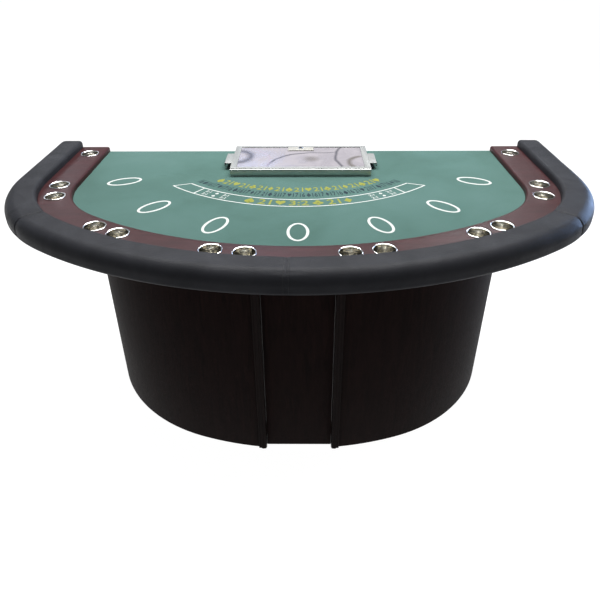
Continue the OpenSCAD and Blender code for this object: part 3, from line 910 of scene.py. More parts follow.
@dataclass
class Armrest:
    """Vinyl cover pulled over foam, in four lengths joined by three seams."""

    width: float = 0.110
    top: float = 0.925
    low: float = 0.855
    outer_round: float = 0.042
    inner_round: float = 0.012
    low_round: float = 0.014
    hem: float = 0.060
    deck_edge: float = 0.030
    crown: float = 0.0022
    spacing: float = 0.0045
    middle_seam: float = -0.030
    corner_seam: float = math.radians(42.0)
    groove: float = 0.0032
    groove_width: float = 0.0036
    pull: float = 0.0016
    pull_width: float = 0.022
    middle_share: float = 0.5
    swell: float = 0.0007
    seam_reach: float = 0.12
    pucker: float = 0.0011
    pucker_width: float = 0.045
    needle_dent: float = 0.0008
    needle_width: float = 0.0016
    end_round: float = 0.005
    stitch: float = 0.0044
    stitch_gap: float = 0.0016
    thread: float = 0.00048
    stitch_offsets: tuple[float, ...] = (-0.0072, 0.0072)

    def profile(self) -> list[ProfilePoint]:
        """The section from the hem, round the outside, over the top to the track."""
        path = [(-self.hem, self.low)]
        path += arc(-self.low_round, self.low + self.low_round, self.low_round,
                    -90, 0, 8)
        path += arc(-self.outer_round, self.top - self.outer_round, self.outer_round,
                    0, 90, 24)
        path += arc(self.inner_round - self.width, self.top - self.inner_round,
                    self.inner_round, 90, 180, 16)
        path += [(-self.width, DECK_TOP)]
        points: list[Point] = [path[0]]
        for (ax, az), (bx, bz) in zip(path, path[1:]):
            pieces = max(1, round(math.hypot(bx - ax, bz - az) / self.spacing))
            points += [(ax + (bx - ax) * i / pieces, az + (bz - az) * i / pieces)
                       for i in range(1, pieces + 1)]
        made: list[ProfilePoint] = []
        v = 0.0
        for i, (x, z) in enumerate(points):
            px, pz = points[max(0, i - 1)]
            qx, qz = points[min(len(points) - 1, i + 1)]
            run = math.hypot(qx - px, qz - pz)
            v += math.hypot(x - px, z - pz)
            made.append(ProfilePoint(x, z, (qz - pz) / run, -(qx - px) / run, v))
        return made

    def seams(self) -> list[float]:
        """Distances along the outline of the ends and the three seams."""
        at_corner = TOP.length - TOP.runs[0] - self.corner_seam * TOP.corner
        return [-TOP.length, -at_corner, self.middle_seam, at_corner, TOP.length]

    def lift(self, p: ProfilePoint, s: float) -> float:
        """Height of the padded surface over the plain section.

        Args:
            p: Point of the section.
            s: Distance along the outline.

        Returns:
            Distance outward.
        """
        over_top = max(0.0, p.nz) ** 2
        puff = self.crown * over_top
        puff += self.swell * noise.noise(Vector((s * 9.0, p.v * 16.0, 3.0)))
        free = min(1.0, max(0.0, (p.z - self.low) / 0.02))
        for index, seam in enumerate(self.seams()[1:-1]):
            away = abs(s - seam)
            if away > self.seam_reach:
                continue
            sewn = 1.0 if index != 1 else self.middle_share
            puff -= sewn * self.groove * math.exp(-(away / self.groove_width) ** 2)
            puff -= sewn * self.pull * math.exp(-(away / self.pull_width) ** 2)
            tug = math.exp(-(away / self.pucker_width) ** 2)
            ripple = noise.noise(Vector((p.v * 85.0, seam * 7.0, away * 18.0)))
            puff += self.pucker * tug * ripple
            if index == 1:
                for offset in self.stitch_offsets:
                    row = s - seam - offset
                    puff -= self.needle_dent * math.exp(-(row / self.needle_width) ** 2)
        return puff * free

    def section(self, profile: list[ProfilePoint], s: float) -> list[Point]:
        """The padded section at a distance along the outline."""
        ends = TOP.length - abs(s)
        inward = 0.0
        if ends < self.end_round:
            across = 1.0 - ends / self.end_round
            inward = self.end_round * (1.0 - math.sqrt(max(0.0, 1.0 - across ** 2)))
        made: list[Point] = []
        for p in profile:
            out = self.lift(p, s) - inward
            made.append((p.x + p.nx * out, p.z + p.nz * out))
        return made

    def spots(self, s0: float, s1: float) -> list[float]:
        """Stations from s0 to s1, close together at seams and ends."""
        fine = [0.0, 0.0008, 0.0016, 0.0025, 0.0035, 0.0047, 0.0058, 0.0066, 0.0072,
                0.0078, 0.0086, 0.010, 0.013, 0.017, 0.023, 0.030, 0.038, 0.047]
        near = [s0 + d for d in fine]
        far = [s1 - d for d in reversed(fine)]
        count = max(2, math.ceil((far[0] - near[-1]) / 0.011))
        middle = [near[-1] + (far[0] - near[-1]) * i / count for i in range(1, count)]
        return near + middle + far

    def cover(self, name: str, s0: float, s1: float) -> bpy.types.Mesh:
        """One length of the cover, capped where it ends at the dealer's edge."""
        profile = self.profile()
        spots = self.spots(s0, s1)
        stations = [TOP.station(s) for s in spots]
        sections = [self.section(profile, s) for s in spots]
        bm = sweep(stations, sections, closed=False)
        count = len(profile)
        bm.verts.ensure_lookup_table()
        values = [(s, p.v) for s in spots for p in profile]
        for end, first in ((0, 0), (-1, len(spots) - 1)):
            if TOP.length - abs(spots[end]) > 1e-6:
                continue
            ring = [bm.verts[first * count + j] for j in range(count)
                    if sections[end][j][0] >= -self.deck_edge
                    or profile[j].z > DECK_TOP - 1e-6]
            ring.append(bm.verts.new(stations[end].at(-self.deck_edge, DECK_TOP)))
            ring.append(bm.verts.new(stations[end].at(-self.deck_edge, self.low)))
            values += [(spots[end], 0.1), (spots[end], 0.0)]
            bm.faces.new(ring)
        mesh = from_bmesh(bm, name, 60.0)
        flat = [c for s, v in values for c in (s, v, 0.0)]
        layer = mesh.attributes.new("flow", "FLOAT_VECTOR", "POINT")
        layer.data.foreach_set("vector", flat)
        return mesh

    def stitches(self, seam: float) -> bpy.types.Mesh:
        """Rows of thread on both sides of a seam, half sunk in the vinyl."""
        bm = bmesh.new()
        profile = [p for p in self.profile() if p.z > self.low + 0.004]
        for offset in self.stitch_offsets:
            s = seam + offset
            station = TOP.station(s)
            line = [station.at(p.x + p.nx * (self.lift(p, s) + 0.0001),
                               p.z + p.nz * (self.lift(p, s) + 0.0001))
                    for p in profile]
            outward = [station.at(p.nx, p.nz) - station.at(0.0, 0.0) for p in profile]
            walked = 0.0
            for a, b, n in zip(line, line[1:], outward):
                run = (b - a).length
                while walked < run:
                    start = a.lerp(b, walked / run)
                    self.thread_loop(bm, start, (b - a).normalized(), n.normalized())
                    walked += self.stitch + self.stitch_gap
                walked -= run
        return from_bmesh(bm, "stitches")

    def thread_loop(self, bm: bmesh.types.BMesh, start: Vector, along: Vector,
                    outward: Vector) -> None:
        """Adds one stitch that dives into the vinyl at both ends."""
        across = along.cross(outward)
        rings: list[list[bmesh.types.BMVert]] = []
        for t, rise, size in ((0.0, -0.9, 0.6), (0.15, 0.1, 1.0), (0.5, 0.5, 1.0),
                              (0.85, 0.1, 1.0), (1.0, -0.9, 0.6)):
            centre = start + along * (self.stitch * t) + outward * (self.thread * rise)
            ring = [bm.verts.new(centre + (across * math.cos(math.tau * i / 7)
                                           + outward * math.sin(math.tau * i / 7))
                                 * self.thread * size) for i in range(7)]
            rings.append(ring)
        for low, high in zip(rings, rings[1:]):
            for i in range(7):
                j = (i + 1) % 7
                bm.faces.new((low[i], low[j], high[j], high[i]))
        bm.faces.new(rings[0])
        bm.faces.new(rings[-1])

    def build(self) -> list[bpy.types.Object]:
        """Makes the four cover lengths and the topstitching."""
        names = ("left_side", "left_front", "right_front", "right_side")
        seams = self.seams()
        made: list[bpy.types.Object] = []
        for name, s0, s1 in zip(names, seams, seams[1:]):
            mesh = self.cover("armrest_" + name, s0, s1)
            piece = place(mesh, "armrest_pad_" + name, "table", "armrest_vinyl", VINYL)
            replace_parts(piece, "armrest_cover_" + name)
            made.append(piece)
        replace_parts(made[1], "armrest_foam")
        thread = place(self.stitches(self.middle_seam), "armrest_topstitching", "table",
                       "armrest_vinyl", THREAD)
        dress("armrest_base", PLYWOOD)
        return [*made, thread]


# ---- Cup track and cup holders -----------------------------------------------


@dataclass
class CupTrack:
    """Lacquered wooden ring between the armrest and the felt, bored for the cups."""

    outer: float = 0.1103
    inner: float = 0.226
    top: float = 0.899
    nose: float = 0.008
    end_round: float = 0.0015
    hole: float = 0.0353
    step: float = 0.014
    hole_sides: int = 72

    def section(self, inward: float) -> list[Point]:
        """The ring's section, moved in by a distance from the top and sides."""
        path = [(-self.outer - inward, DECK_TOP), (-self.outer - inward, self.top - 0.02),
                (-self.outer - inward, self.top - inward)]
        for i in range(1, 9):
            out = self.outer + (self.inner - self.nose - self.outer) * i / 8
            path.append((-out, self.top - inward))
        path += arc(self.nose - self.inner, self.top - self.nose, self.nose - inward,
                    90, 180, 9)[1:]
        path.append((inward - self.inner, DECK_TOP))
        return path

    def ring(self) -> bpy.types.Mesh:
        """The whole ring with eased ends."""
        half = TOP.length
        spots = [-half, -half + 0.0003, -half + 0.0008, -half + self.end_round]
        count = math.ceil(2 * (half - self.end_round) / self.step)
        first, last = -half + self.end_round, half - self.end_round
        spots += [first + (last - first) * i / count for i in range(1, count)]
        spots += [last, half - 0.0008, half - 0.0003, half]
        sections: list[list[Point]] = []
        for s in spots:
            across = max(0.0, 1.0 - (half - abs(s)) / self.end_round)
            sections.append(self.section(
                self.end_round * (1.0 - math.sqrt(1.0 - min(1.0, across) ** 2))))
        bm = sweep([TOP.station(s) for s in spots], sections)
        bm.verts.ensure_lookup_table()
        count = len(sections[0])
        bm.faces.new(bm.verts[:count])
        bm.faces.new(bm.verts[-count:])
        return from_bmesh(bm, "track_ring", 40.0)

    def drills(self, centres: list[Vector]) -> bpy.types.Mesh:
        """Upright closed cylinders where the holes go."""
        bm = bmesh.new()
        for centre in centres:
            place_at = Matrix.Translation((centre.x, centre.y, self.top))
            bmesh.ops.create_cone(bm, cap_ends=True, segments=self.hole_sides,
                                  radius1=self.hole, radius2=self.hole, depth=0.1,
                                  matrix=place_at)
        mesh = bpy.data.meshes.new("drills")
        bm.to_mesh(mesh)
        bm.free()
        return mesh

    def build(self, centres: list[Vector]) -> bpy.types.Object:
        """Bores the ring at the cups' places and dresses it."""
        scene = bpy.context.scene
        blank = bpy.data.objects.new("track_blank", self.ring())
        drills = bpy.data.objects.new("track_drills", self.drills(centres))
        scene.collection.objects.link(blank)
        scene.collection.objects.link(drills)
        cut = blank.modifiers.new("holes", "BOOLEAN")
        cut.operation = "DIFFERENCE"
        cut.object = drills
        cut.solver = "EXACT"
        bpy.context.view_layer.update()
        graph = bpy.context.evaluated_depsgraph_get()
        mesh = bpy.data.meshes.new_from_object(blank.evaluated_get(graph))
        bpy.data.objects.remove(blank)
        bpy.data.objects.remove(drills)
        bm = bmesh.new()
        bm.from_mesh(mesh)
        ring = set_flow(from_bmesh(bm, "cup_track_wood", 40.0))
        piece = place(ring, "cup_track_wood", "table", "track_wood", MAHOGANY)
        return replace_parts(piece, "cup_track")


@dataclass
class CupHolder:
    """Spun steel cup with a rolled rim."""

    number: int
    rim: float = 0.0375
    body: float = 0.0345
    wall: float = 0.0012
    foot: float = 0.006
    rim_height: float = 0.0026
    seat: float = 0.899
    depth: float = 0.062
    sides: int = 72

    def centre(self) -> Vector:
        """Middle of the cup's CAD node."""
        low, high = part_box(f"cup_holder_{self.number}")
        return (low + high) / 2

    def outline(self) -> list[Point]:
        """The cup's section, from under its floor over the rim to its inner floor."""
        low = self.seat + self.rim_height - self.depth
        roll = self.rim_height / 2
        inner = self.body - self.wall
        line = [(0.0, low + 0.001), (0.012, low + 0.001), (0.014, low)]
        line += arc(self.body - self.foot, low + self.foot, self.foot, -90, 0, 6)
        line += [(self.body, self.seat - 0.002), (self.body + 0.0002, self.seat)]
        line += arc(self.rim - roll, self.seat + roll, roll, -90, 90, 10)
        line += arc(inner + 2 * roll, self.seat, 2 * roll, 90, 180, 9)
        line += [(inner, self.seat - 0.012), (inner - 0.0004, self.seat - 0.0126),
                 (inner - 0.0004, self.seat - 0.0142), (inner, self.seat - 0.0148)]
        line += arc(self.body - self.foot, low + self.foot, self.foot - self.wall,
                    0, -90, 8)
        line += [(0.0145, low + self.wall), (0.0125, low + self.wall + 0.0009),
                 (0.0, low + self.wall + 0.0009)]
        return line

    def build(self) -> bpy.types.Object:
        """Turns the cup and lets it lift with its body."""
        middle = self.centre()
        line = self.outline()
        bands = [1 if z > self.seat - 0.0004 else 0 for _, z in line[1:]]
        mesh = lathe(line, (middle.x, middle.y), self.sides, "cup", bands)
        piece = place(mesh, f"cup_{self.number}_spun", f"cup_{self.number}",
                      "cup_steel", CUP_STEEL, RIM_STEEL)
        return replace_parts(piece, f"cup_holder_{self.number}")


# ---- Playing surface ---------------------------------------------------------


@dataclass
class FeltTop:
    """Felt stretched over its foam, turned down at the dealer's edge and the pocket."""

    inset: float = 0.2263
    rear_roll: float = 0.006
    pocket_roll: float = 0.0025
    side_roll: float = 0.0008
    pocket_gap: float = 0.001
    step: float = 0.02
    roll_steps: int = 5

    def loops(self) -> list[list[tuple[Vector, Vector, float, float]]]:
        """Outer and pocket loops.

        Returns:
            For each vertex: its place, the outward direction, the roll's radius and the
            height at which its wall ends.
        """
        spots = TOP.stations(-TOP.length, TOP.length, self.step)
        outer: list[tuple[Vector, Vector, float, float]] = []
        rear = TOP.rear_y
        for station in spots:
            flat = station.point - station.normal * self.inset
            normal = station.normal.copy()
            roll, low = self.side_roll, DECK_TOP
            if flat.y > rear - 1e-6:
                normal = Vector((normal.x * self.side_roll / self.rear_roll, 1.0))
                roll, low = self.rear_roll, DECK_LOW
            outer.append((flat, normal, roll, low))
        half = TOP.half - self.inset
        count = math.ceil(2 * half / self.step)
        outer += [(Vector((half - 2 * half * i / count, rear)), Vector((0.0, 1.0)),
                   self.rear_roll, DECK_LOW) for i in range(1, count)]
        low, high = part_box("tray_case")
        x0, x1 = low.x - self.pocket_gap, high.x + self.pocket_gap
        y0, y1 = low.y - self.pocket_gap, high.y + self.pocket_gap
        corners = ((x0, y0, -1, -1), (x1, y0, 1, -1), (x1, y1, 1, 1), (x0, y1, -1, 1))
        pocket: list[tuple[Vector, Vector, float, float]] = []
        for (ax, ay, sx, sy), (bx, by, tx, ty) in zip(corners,
                                                      corners[1:] + corners[:1]):
            pocket.append((Vector((ax, ay)), Vector((-sx, -sy)), self.pocket_roll,
                           DECK_TOP))
            flat_out = Vector((-(sx + tx) / 2, -(sy + ty) / 2))
            pocket += [(Vector((ax, ay)).lerp(Vector((bx, by)), i / 12), flat_out,
                        self.pocket_roll, DECK_TOP) for i in range(1, 12)]
        return [outer, pocket]

    def build(self) -> bpy.types.Object:
        """Fills the top, rolls its edges down and stretches it over the foam."""
        bm = bmesh.new()
        edges: list[bmesh.types.BMEdge] = []
        for loop in self.loops():
            rings: list[list[bmesh.types.BMVert]] = []
            for k in range(self.roll_steps + 1):
                a = math.pi / 2 * k / self.roll_steps
                rings.append([bm.verts.new((*(p - n * r * (1.0 - math.sin(a))),
                                            FELT_TOP - r * (1.0 - math.cos(a))))
                              for p, n, r, _ in loop])
            rings.append([bm.verts.new((*p, low)) for p, _, _, low in loop])
            for above, below in zip(rings, rings[1:]):
                for i, corner in enumerate(above):
                    j = (i + 1) % len(above)
                    bm.faces.new((corner, above[j], below[j], below[i]))
            first = rings[0]
            edges += [bm.edges.get((v, first[(i + 1) % len(first)]))
                      for i, v in enumerate(first)]
        bmesh.ops.triangle_fill(bm, edges=edges, use_beauty=True, use_dissolve=False)
        mesh = from_bmesh(bm, "felt_cloth", 60.0)
        return place(mesh, "felt_cloth", "table", "felt_cloth", FELT)


class Pip(Enum):
    """Card suits used in the printed rows."""

    SPADE = "s"
    HEART = "h"
    DIAMOND = "d"
    CLUB = "c"


def circle(cx: float, cy: float, r: float, n: int = 20) -> list[Point]:
    """Points round a circle."""
    return arc(cx, cy, r, 0.0, 360.0 - 360.0 / n, n - 1)


def pip_shapes(pip: Pip) -> list[list[Point]]:
    """Filled outlines of a suit in a box one unit high and centred on zero."""
    if pip is Pip.DIAMOND:
        return [[(0.0, 0.5), (0.16, 0.22), (0.36, 0.0), (0.16, -0.22), (0.0, -0.5),
                 (-0.16, -0.22), (-0.36, 0.0), (-0.16, 0.22)]]
    if pip is Pip.CLUB:
        stem = [(-0.05, 0.0), (0.05, 0.0), (0.07, -0.3), (0.18, -0.48), (-0.18, -0.48),
                (-0.07, -0.3)]
        return [circle(0.0, 0.26, 0.21), circle(-0.23, -0.08, 0.21),
                circle(0.23, -0.08, 0.21), stem]
    turn = 1.0 if pip is Pip.HEART else -1.0
    lobe: list[Point] = []
    for i in range(40):
        t = math.tau * i / 40
        x = 0.42 * math.sin(t) ** 3
        y = (13 * math.cos(t) - 5 * math.cos(2 * t) - 2 * math.cos(3 * t)
             - math.cos(4 * t)) / 32.0
        lobe.append((x, turn * (y + 0.05)))
    if pip is Pip.HEART:
        return [lobe]
    stem = [(-0.04, -0.1), (0.04, -0.1), (0.07, -0.34), (0.19, -0.5), (-0.19, -0.5),
            (-0.07, -0.34)]
    return [[(x, y + 0.06) for x, y in lobe], stem]


@dataclass(frozen=True)
class MarkRow:
    """A curved row of numerals and suits.

    Args:
        marks: Numerals, or a suit's value from Pip.
        radius: Radius of the row's middle.
        height: Height of its marks.
        centre: Angle of the row's middle, from the front, in degrees.
        reach: Half of the angle that it fills, in degrees.
        ink: The ink.
    """

    marks: tuple[str | Pip, ...]
    radius: float
    height: float
    centre: float
    reach: float
    ink: Ink


@dataclass
class PrintedLayout:
    """Printed banner, rows of marks and betting ovals, a hair proud of the felt."""

    origin_y: float = 0.649
    banner: Point = (0.613, 0.680)
    banner_line: float = 0.0052
    banner_end: float = 44.0
    banner_lean: float = 1.5
    dividers: tuple[float, ...] = (-35.5, 35.5)
    ovals: tuple[float, ...] = (-67.0, -43.7, -21.8, 0.0, 21.8, 43.7, 67.0)
    oval_y: float = 0.505
    oval_radius: float = 0.738
    oval_size: Point = (0.062, 0.032)
    oval_line: float = 0.0095
    proud: float = 0.0003
    least_gap: float = 0.16

    def rows(self) -> list[MarkRow]:
        """The printed rows, from the dealer outward."""
        suits = (Pip.SPADE, Pip.HEART, Pip.CLUB, Pip.DIAMOND)
        low: list[str | Pip] = []
        for i in range(9):
            low += [suits[i % 4], "21"]
        low.append(suits[1])
        fine: list[str | Pip] = []
        for i, number in enumerate(("16", "17", "16", "17", "21", "17", "16", "17",
                                    "16", "21", "17", "16")):
            fine += [number, suits[i % 4], number]
        big = (Pip.SPADE, "21", Pip.HEART, "3:2", Pip.CLUB, "21", Pip.DIAMOND)
        made = [MarkRow(tuple(low), 0.520, 0.040, 0.0, 37.0, GOLD_INK),
                MarkRow(tuple(fine), 0.573, 0.036, 0.0, 42.0, NAVY_INK),
                MarkRow(big, 0.6465, 0.044, 0.0, 17.5, GOLD_INK)]
        for centre in (-28.5, 28.5):
            made += [MarkRow(("2:1", suit, "2:1"), radius, 0.016, centre, 4.5, WHITE_INK)
                     for suit, radius in ((Pip.CLUB, 0.634), (Pip.SPADE, 0.658))]
        return made

    def on_arc(self, u: float, v: float, radius: float) -> Vector:
        """The place a distance along and inward from an arc round the dealer."""
        a = u / radius
        r = radius - v
        return Vector((r * math.sin(a), self.origin_y - r * math.cos(a), 0.0))

    def numeral(self, text: str) -> tuple[list[Point], list[list[int]]]:
        """Flat outline faces of a numeral, one unit high and centred on zero."""
        curve = bpy.data.curves.new("numeral", "FONT")
        curve.body = text
        curve.resolution_u = 3
        curve.offset = 0.012
        holder = bpy.data.objects.new("numeral", curve)
        bpy.context.scene.collection.objects.link(holder)
        bpy.context.view_layer.update()
        graph = bpy.context.evaluated_depsgraph_get()
        mesh = bpy.data.meshes.new_from_object(holder.evaluated_get(graph))
        bpy.data.objects.remove(holder)
        xs = [v.co.x for v in mesh.vertices]
        ys = [v.co.y for v in mesh.vertices]
        tall = max(ys) - min(ys)
        mid_x, mid_y = (max(xs) + min(xs)) / 2, (max(ys) + min(ys)) / 2
        points = [((v.co.x - mid_x) / tall, (v.co.y - mid_y) / tall)
                  for v in mesh.vertices]
        faces = [list(f.vertices) for f in mesh.polygons]
        bpy.data.meshes.remove(mesh)
        return points, faces

    def shapes(self, mark: str | Pip) -> tuple[list[Point], list[list[int]]]:
        """Points and faces of one mark."""
        if isinstance(mark, str):
            return self.numeral(mark)
        points: list[Point] = []
        faces: list[list[int]] = []
        for outline in pip_shapes(mark):
            faces.append(list(range(len(points), len(points) + len(outline))))
            points += outline
        return points, faces

    def print_row(self, bm: bmesh.types.BMesh, row: MarkRow) -> None:
        """Adds a row's marks, spread evenly over its angle."""
        drawn = [self.shapes(mark) for mark in row.marks]
        widths = [max(x for x, _ in pts) - min(x for x, _ in pts) for pts, _ in drawn]
        room = 2 * math.radians(row.reach) * row.radius / row.height
        gap = (room - sum(widths)) / max(1, len(drawn) - 1)
        squeeze = 1.0
        if gap < self.least_gap:
            squeeze = (room - self.least_gap * (len(drawn) - 1)) / sum(widths)
            gap = self.least_gap
        start = math.radians(row.centre) * row.radius / row.height - room / 2
        for (points, faces), width in zip(drawn, widths):
            middle = start + width * squeeze / 2
            verts = [bm.verts.new(self.on_arc((middle + x * squeeze) * row.height,
                                              y * row.height, row.radius))
                     for x, y in points]
            for face in faces:
                bm.faces.new([verts[i] for i in face])
            start += width * squeeze + gap

    def strip(self, bm: bmesh.types.BMesh, inner: list[Vector], outer: list[Vector]
              ) -> None:
        """Adds a printed line between two runs of points."""
        left = [bm.verts.new(p) for p in inner]
        right = [bm.verts.new(p) for p in outer]
        for i in range(len(left) - 1):
            bm.faces.new((left[i], left[i + 1], right[i + 1], right[i]))

    def banner_lines(self, bm: bmesh.types.BMesh) -> None:
        """Adds the banner's two arcs, its slanted ends and its dividers."""
        low, high = self.banner
        line = self.banner_line

        def point(angle: float, radius: float) -> Vector:
            """Place at an angle in degrees and a radius."""
            a = math.radians(angle)
            return Vector((radius * math.sin(a), self.origin_y - radius * math.cos(a),
                           0.0))

        def end(radius: float) -> float:
            """Angle of the banner's slanted end at a radius."""
            share = (radius - low) / (high - low) - 0.5
            return self.banner_end + 2 * self.banner_lean * share

        for radius in (low, high - line):
            reach = end(radius)
            angles = [reach * (i / 60 - 1.0) for i in range(121)]
            self.strip(bm, [point(a, radius) for a in angles],
                       [point(a, radius + line) for a in angles])
        wide = math.degrees(line / high)
        radii = [low + line + (high - low - 2 * line) * i / 4 for i in range(5)]
        for side in (-1.0, 1.0):
            self.strip(bm, [point(side * end(r), r) for r in radii],
                       [point(side * (end(r) - wide), r) for r in radii])
        for angle in self.dividers:
            self.strip(bm, [point(angle, r) for r in radii],
                       [point(angle + wide, r) for r in radii])

    def oval(self, bm: bmesh.types.BMesh, angle: float) -> None:
        """Adds one betting oval, with its long way pointing at the dealer."""
        a = math.radians(angle)
        outward = Vector((math.sin(a), -math.cos(a), 0.0))
        across = Vector((math.cos(a), math.sin(a), 0.0))
        middle = Vector((0.0, self.oval_y, 0.0)) + outward * self.oval_radius
        rings: list[list[Vector]] = []
        for grow in (-self.oval_line / 2, self.oval_line / 2):
            ring: list[Vector] = []
            for i in range(73):
                t = math.tau * i / 72
                long = (self.oval_size[0] + grow) * math.cos(t)
                wide = (self.oval_size[1] + grow) * math.sin(t)
                ring.append(middle + outward * long + across * wide)
            rings.append(ring)
        self.strip(bm, rings[0], rings[1])

    def raised(self, bm: bmesh.types.BMesh, name: str) -> bpy.types.Mesh:
        """Gives flat print its thickness, its underside sunk in the felt."""
        bmesh.ops.remove_doubles(bm, verts=bm.verts, dist=1e-5)
        for vertex in bm.verts:
            vertex.co.z = FELT_TOP + self.proud
        bmesh.ops.recalc_face_normals(bm, faces=bm.faces)
        for face in bm.faces:
            if face.normal.z < 0.0:
                face.normal_flip()
        made = bmesh.ops.extrude_face_region(bm, geom=list(bm.faces))
        for vertex in (g for g in made["geom"] if isinstance(g, bmesh.types.BMVert)):
            vertex.co.z = FELT_TOP + self.proud
        tops = {g for g in made["geom"] if isinstance(g, bmesh.types.BMFace)}
        low = {v for f in bm.faces if f not in tops for v in f.verts}
        low -= {v for f in tops for v in f.verts}
        for vertex in low:
            vertex.co.z = FELT_TOP - self.proud
        return from_bmesh(bm, name, 30.0)

    def build(self) -> list[bpy.types.Object]:
        """Prints each ink as one piece."""
        white = bmesh.new()
        self.banner_lines(white)
        for angle in self.ovals:
            self.oval(white, angle)
        inks = {WHITE_INK: white, GOLD_INK: bmesh.new(), NAVY_INK: bmesh.new()}
        for row in self.rows():
            self.print_row(inks[row.ink], row)
        made: list[bpy.types.Object] = []
        for ink, bm in inks.items():
            mesh = self.raised(bm, ink.name)
            mesh.materials.append(coat(ink))
            piece = bpy.data.objects.new("layout_" + ink.name, mesh)
            bpy.context.scene.collection.objects.link(piece)
            made.append(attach(piece, "table"))
        return made


@dataclass
class Playfield:
    """The felt, its print, the foam under it and the board under that."""

    felt: FeltTop = field(default_factory=FeltTop)
    layout: PrintedLayout = field(default_factory=PrintedLayout)

    def build(self) -> list[bpy.types.Object]:
        """Builds the cloth and its print, and finishes the foam and the board under it."""
        cloth = self.felt.build()
        prints = self.layout.build()
        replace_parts(cloth, "felt_layout")
        pad = swap("foam_underlay", "table", "underlay_foam", UNDERLAY_FOAM, 0.0012)
        dress("deck_board", PLYWOOD)
        return [cloth, pad, *prints]


# ---- Chip tray ---------------------------------------------------------------


@dataclass
class ChipTray:
    """Lift-out chip tray with a hinged, locking lid."""

    case_edge: float = 0.0007
    frame_edge: float = 0.0009
    plate_edge: float = 0.0006
    handle_edge: float = 0.0006
    row_edge: float = 0.00025

    def build(self) -> list[bpy.types.Object]:
        """Eases the sheet metal's edges and finishes each part."""
        made = [
            swap("tray_case", "tray", "case_sheet", CASE_SHEET, self.case_edge),
            swap("tray_insert", "tray", "row_sheet", ROW_SHEET, self.row_edge, 1),
            swap("lid_frame", "lid", "lid_frame_metal", BRIGHT_SHEET, self.frame_edge),
            swap("lock_plate", "lid", "lock_plate_metal", LOCK_SHEET, self.plate_edge),
            swap("lock_barrel", "lid", "lock_chrome", CHROME, 0.0003),
            swap("lock_strike", "tray", "cam_steel", ZINC, 0.0002, 1),
        ]
        for side in ("left", "right"):
            made.append(swap("tray_handle_" + side, "tray", "handle_sheet",
                             BRIGHT_SHEET, self.handle_edge))
        # The lid panel's colour carries painted reflections of the ceiling and darker
        # shapes.
        dress("lid_panel", PolishedPlate())
        dress("lock_plug", DARK_STEEL)
        dress("tray_pads", PAD_RUBBER)
        for node in ("handle_rivets", "case_knuckles", "lid_knuckles"):
            dress(node, CHROME)
        for node in ("hinge_pin", "lock_nut", "lock_cam"):
            dress(node, ZINC)
        return made


# ---- Base --------------------------------------------------------------------


BASE_POST_TURN = math.asin(0.139 / 1.158)


@dataclass
class BeadedPost:
    """Front post with two beads cut down its face."""

    side: str
    bead: float = 0.0028
    bead_gap: float = 0.0062
    ease: float = 0.0015

    def face_line(self, half: float, front: float, back: float) -> list[Point]:
        """The post's plan, clockwise from its back, beads along the front."""
        ease = self.ease
        line = [(-half, back), (-half, front + ease), (-half + ease, front)]
        for middle in (-self.bead_gap, self.bead_gap):
            for i in range(9):
                a = math.pi * i / 8
                line.append((middle - self.bead * math.cos(a),
                             front + 0.55 * self.bead * math.sin(a)))
        line += [(half - ease, front), (half, front + ease), (half, back)]
        return line

    def build(self) -> bpy.types.Object:
        """Extrudes the plan between the floor gap and the deck."""
        node = "post_front_" + self.side
        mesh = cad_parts[node].data
        low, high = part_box(node)
        sign = -1.0 if self.side == "left" else 1.0
        middle = (low + high) / 2
        turn = Matrix.Rotation(sign * BASE_POST_TURN, 3, "Z")
        local = [turn.inverted() @ (v.co - middle) for v in mesh.vertices]
        half = max(p.x for p in local)
        front, back = min(p.y for p in local), max(p.y for p in local)
        plan = self.face_line(half, front, back)
        bm = bmesh.new()
        rings: list[list[bmesh.types.BMVert]] = []
        heights = (low.z, low.z + self.ease, high.z)
        for z, shrink in zip(heights, (1.0 - self.ease / half, 1.0, 1.0)):
            ring: list[bmesh.types.BMVert] = []
            for x, y in plan:
                point = turn @ Vector((x * shrink, y * shrink, 0.0)) + middle
                ring.append(bm.verts.new((point.x, point.y, z)))
            rings.append(ring)
        for below, above in zip(rings, rings[1:]):
            for i, corner in enumerate(below):
                j = (i + 1) % len(below)
                bm.faces.new((corner, below[j], above[j], above[i]))
        bm.faces.new(rings[0])
        bm.faces.new(rings[-1])
        piece = place(from_bmesh(bm, node, 30.0), node + "_beaded", "table",
                      "base_post", ESPRESSO_POST)
        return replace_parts(piece, node)


@dataclass
class Leveller:
    """Levelling foot with a ribbed rubber pad and a threaded stem."""

    corner: str
    pad: float = 0.013
    neck: float = 0.008
    height: float = 0.0114
    stem: float = 0.004
    pitch: float = 0.00125
    sides: int = 48

    def build(self) -> bpy.types.Object:
        """Turns the pad and the thread."""
        node = "leveller_" + self.corner
        low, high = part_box(node)
        middle = (low + high) / 2
        line = [(0.0, low.z), (self.pad - 0.0008, low.z), (self.pad, low.z + 0.0008)]
        for i in range(3):
            z = low.z + 0.0014 + 0.0009 * i
            line += [(self.pad, z), (self.pad - 0.0004, z + 0.0003),
                     (self.pad, z + 0.0006)]
        line += [(self.pad - 0.0006, low.z + 0.0046), (self.neck, self.height - 0.0004),
                 (self.neck - 0.0006, self.height)]
        bands = [0] * (len(line) - 1) + [1]
        z = self.height
        line.append((self.stem, z))
        while z < high.z - self.pitch:
            line += [(self.stem - 0.0005, z + self.pitch / 2), (self.stem, z + self.pitch)]
            bands += [1, 1]
            z += self.pitch
        line.append((0.0, high.z))
        bands.append(1)
        mesh = lathe(line, (middle.x, middle.y), self.sides, node, bands)
        piece = place(mesh, node + "_turned", "foot_" + self.corner, "foot_rubber",
                      RUBBER, ZINC)
        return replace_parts(piece, node)


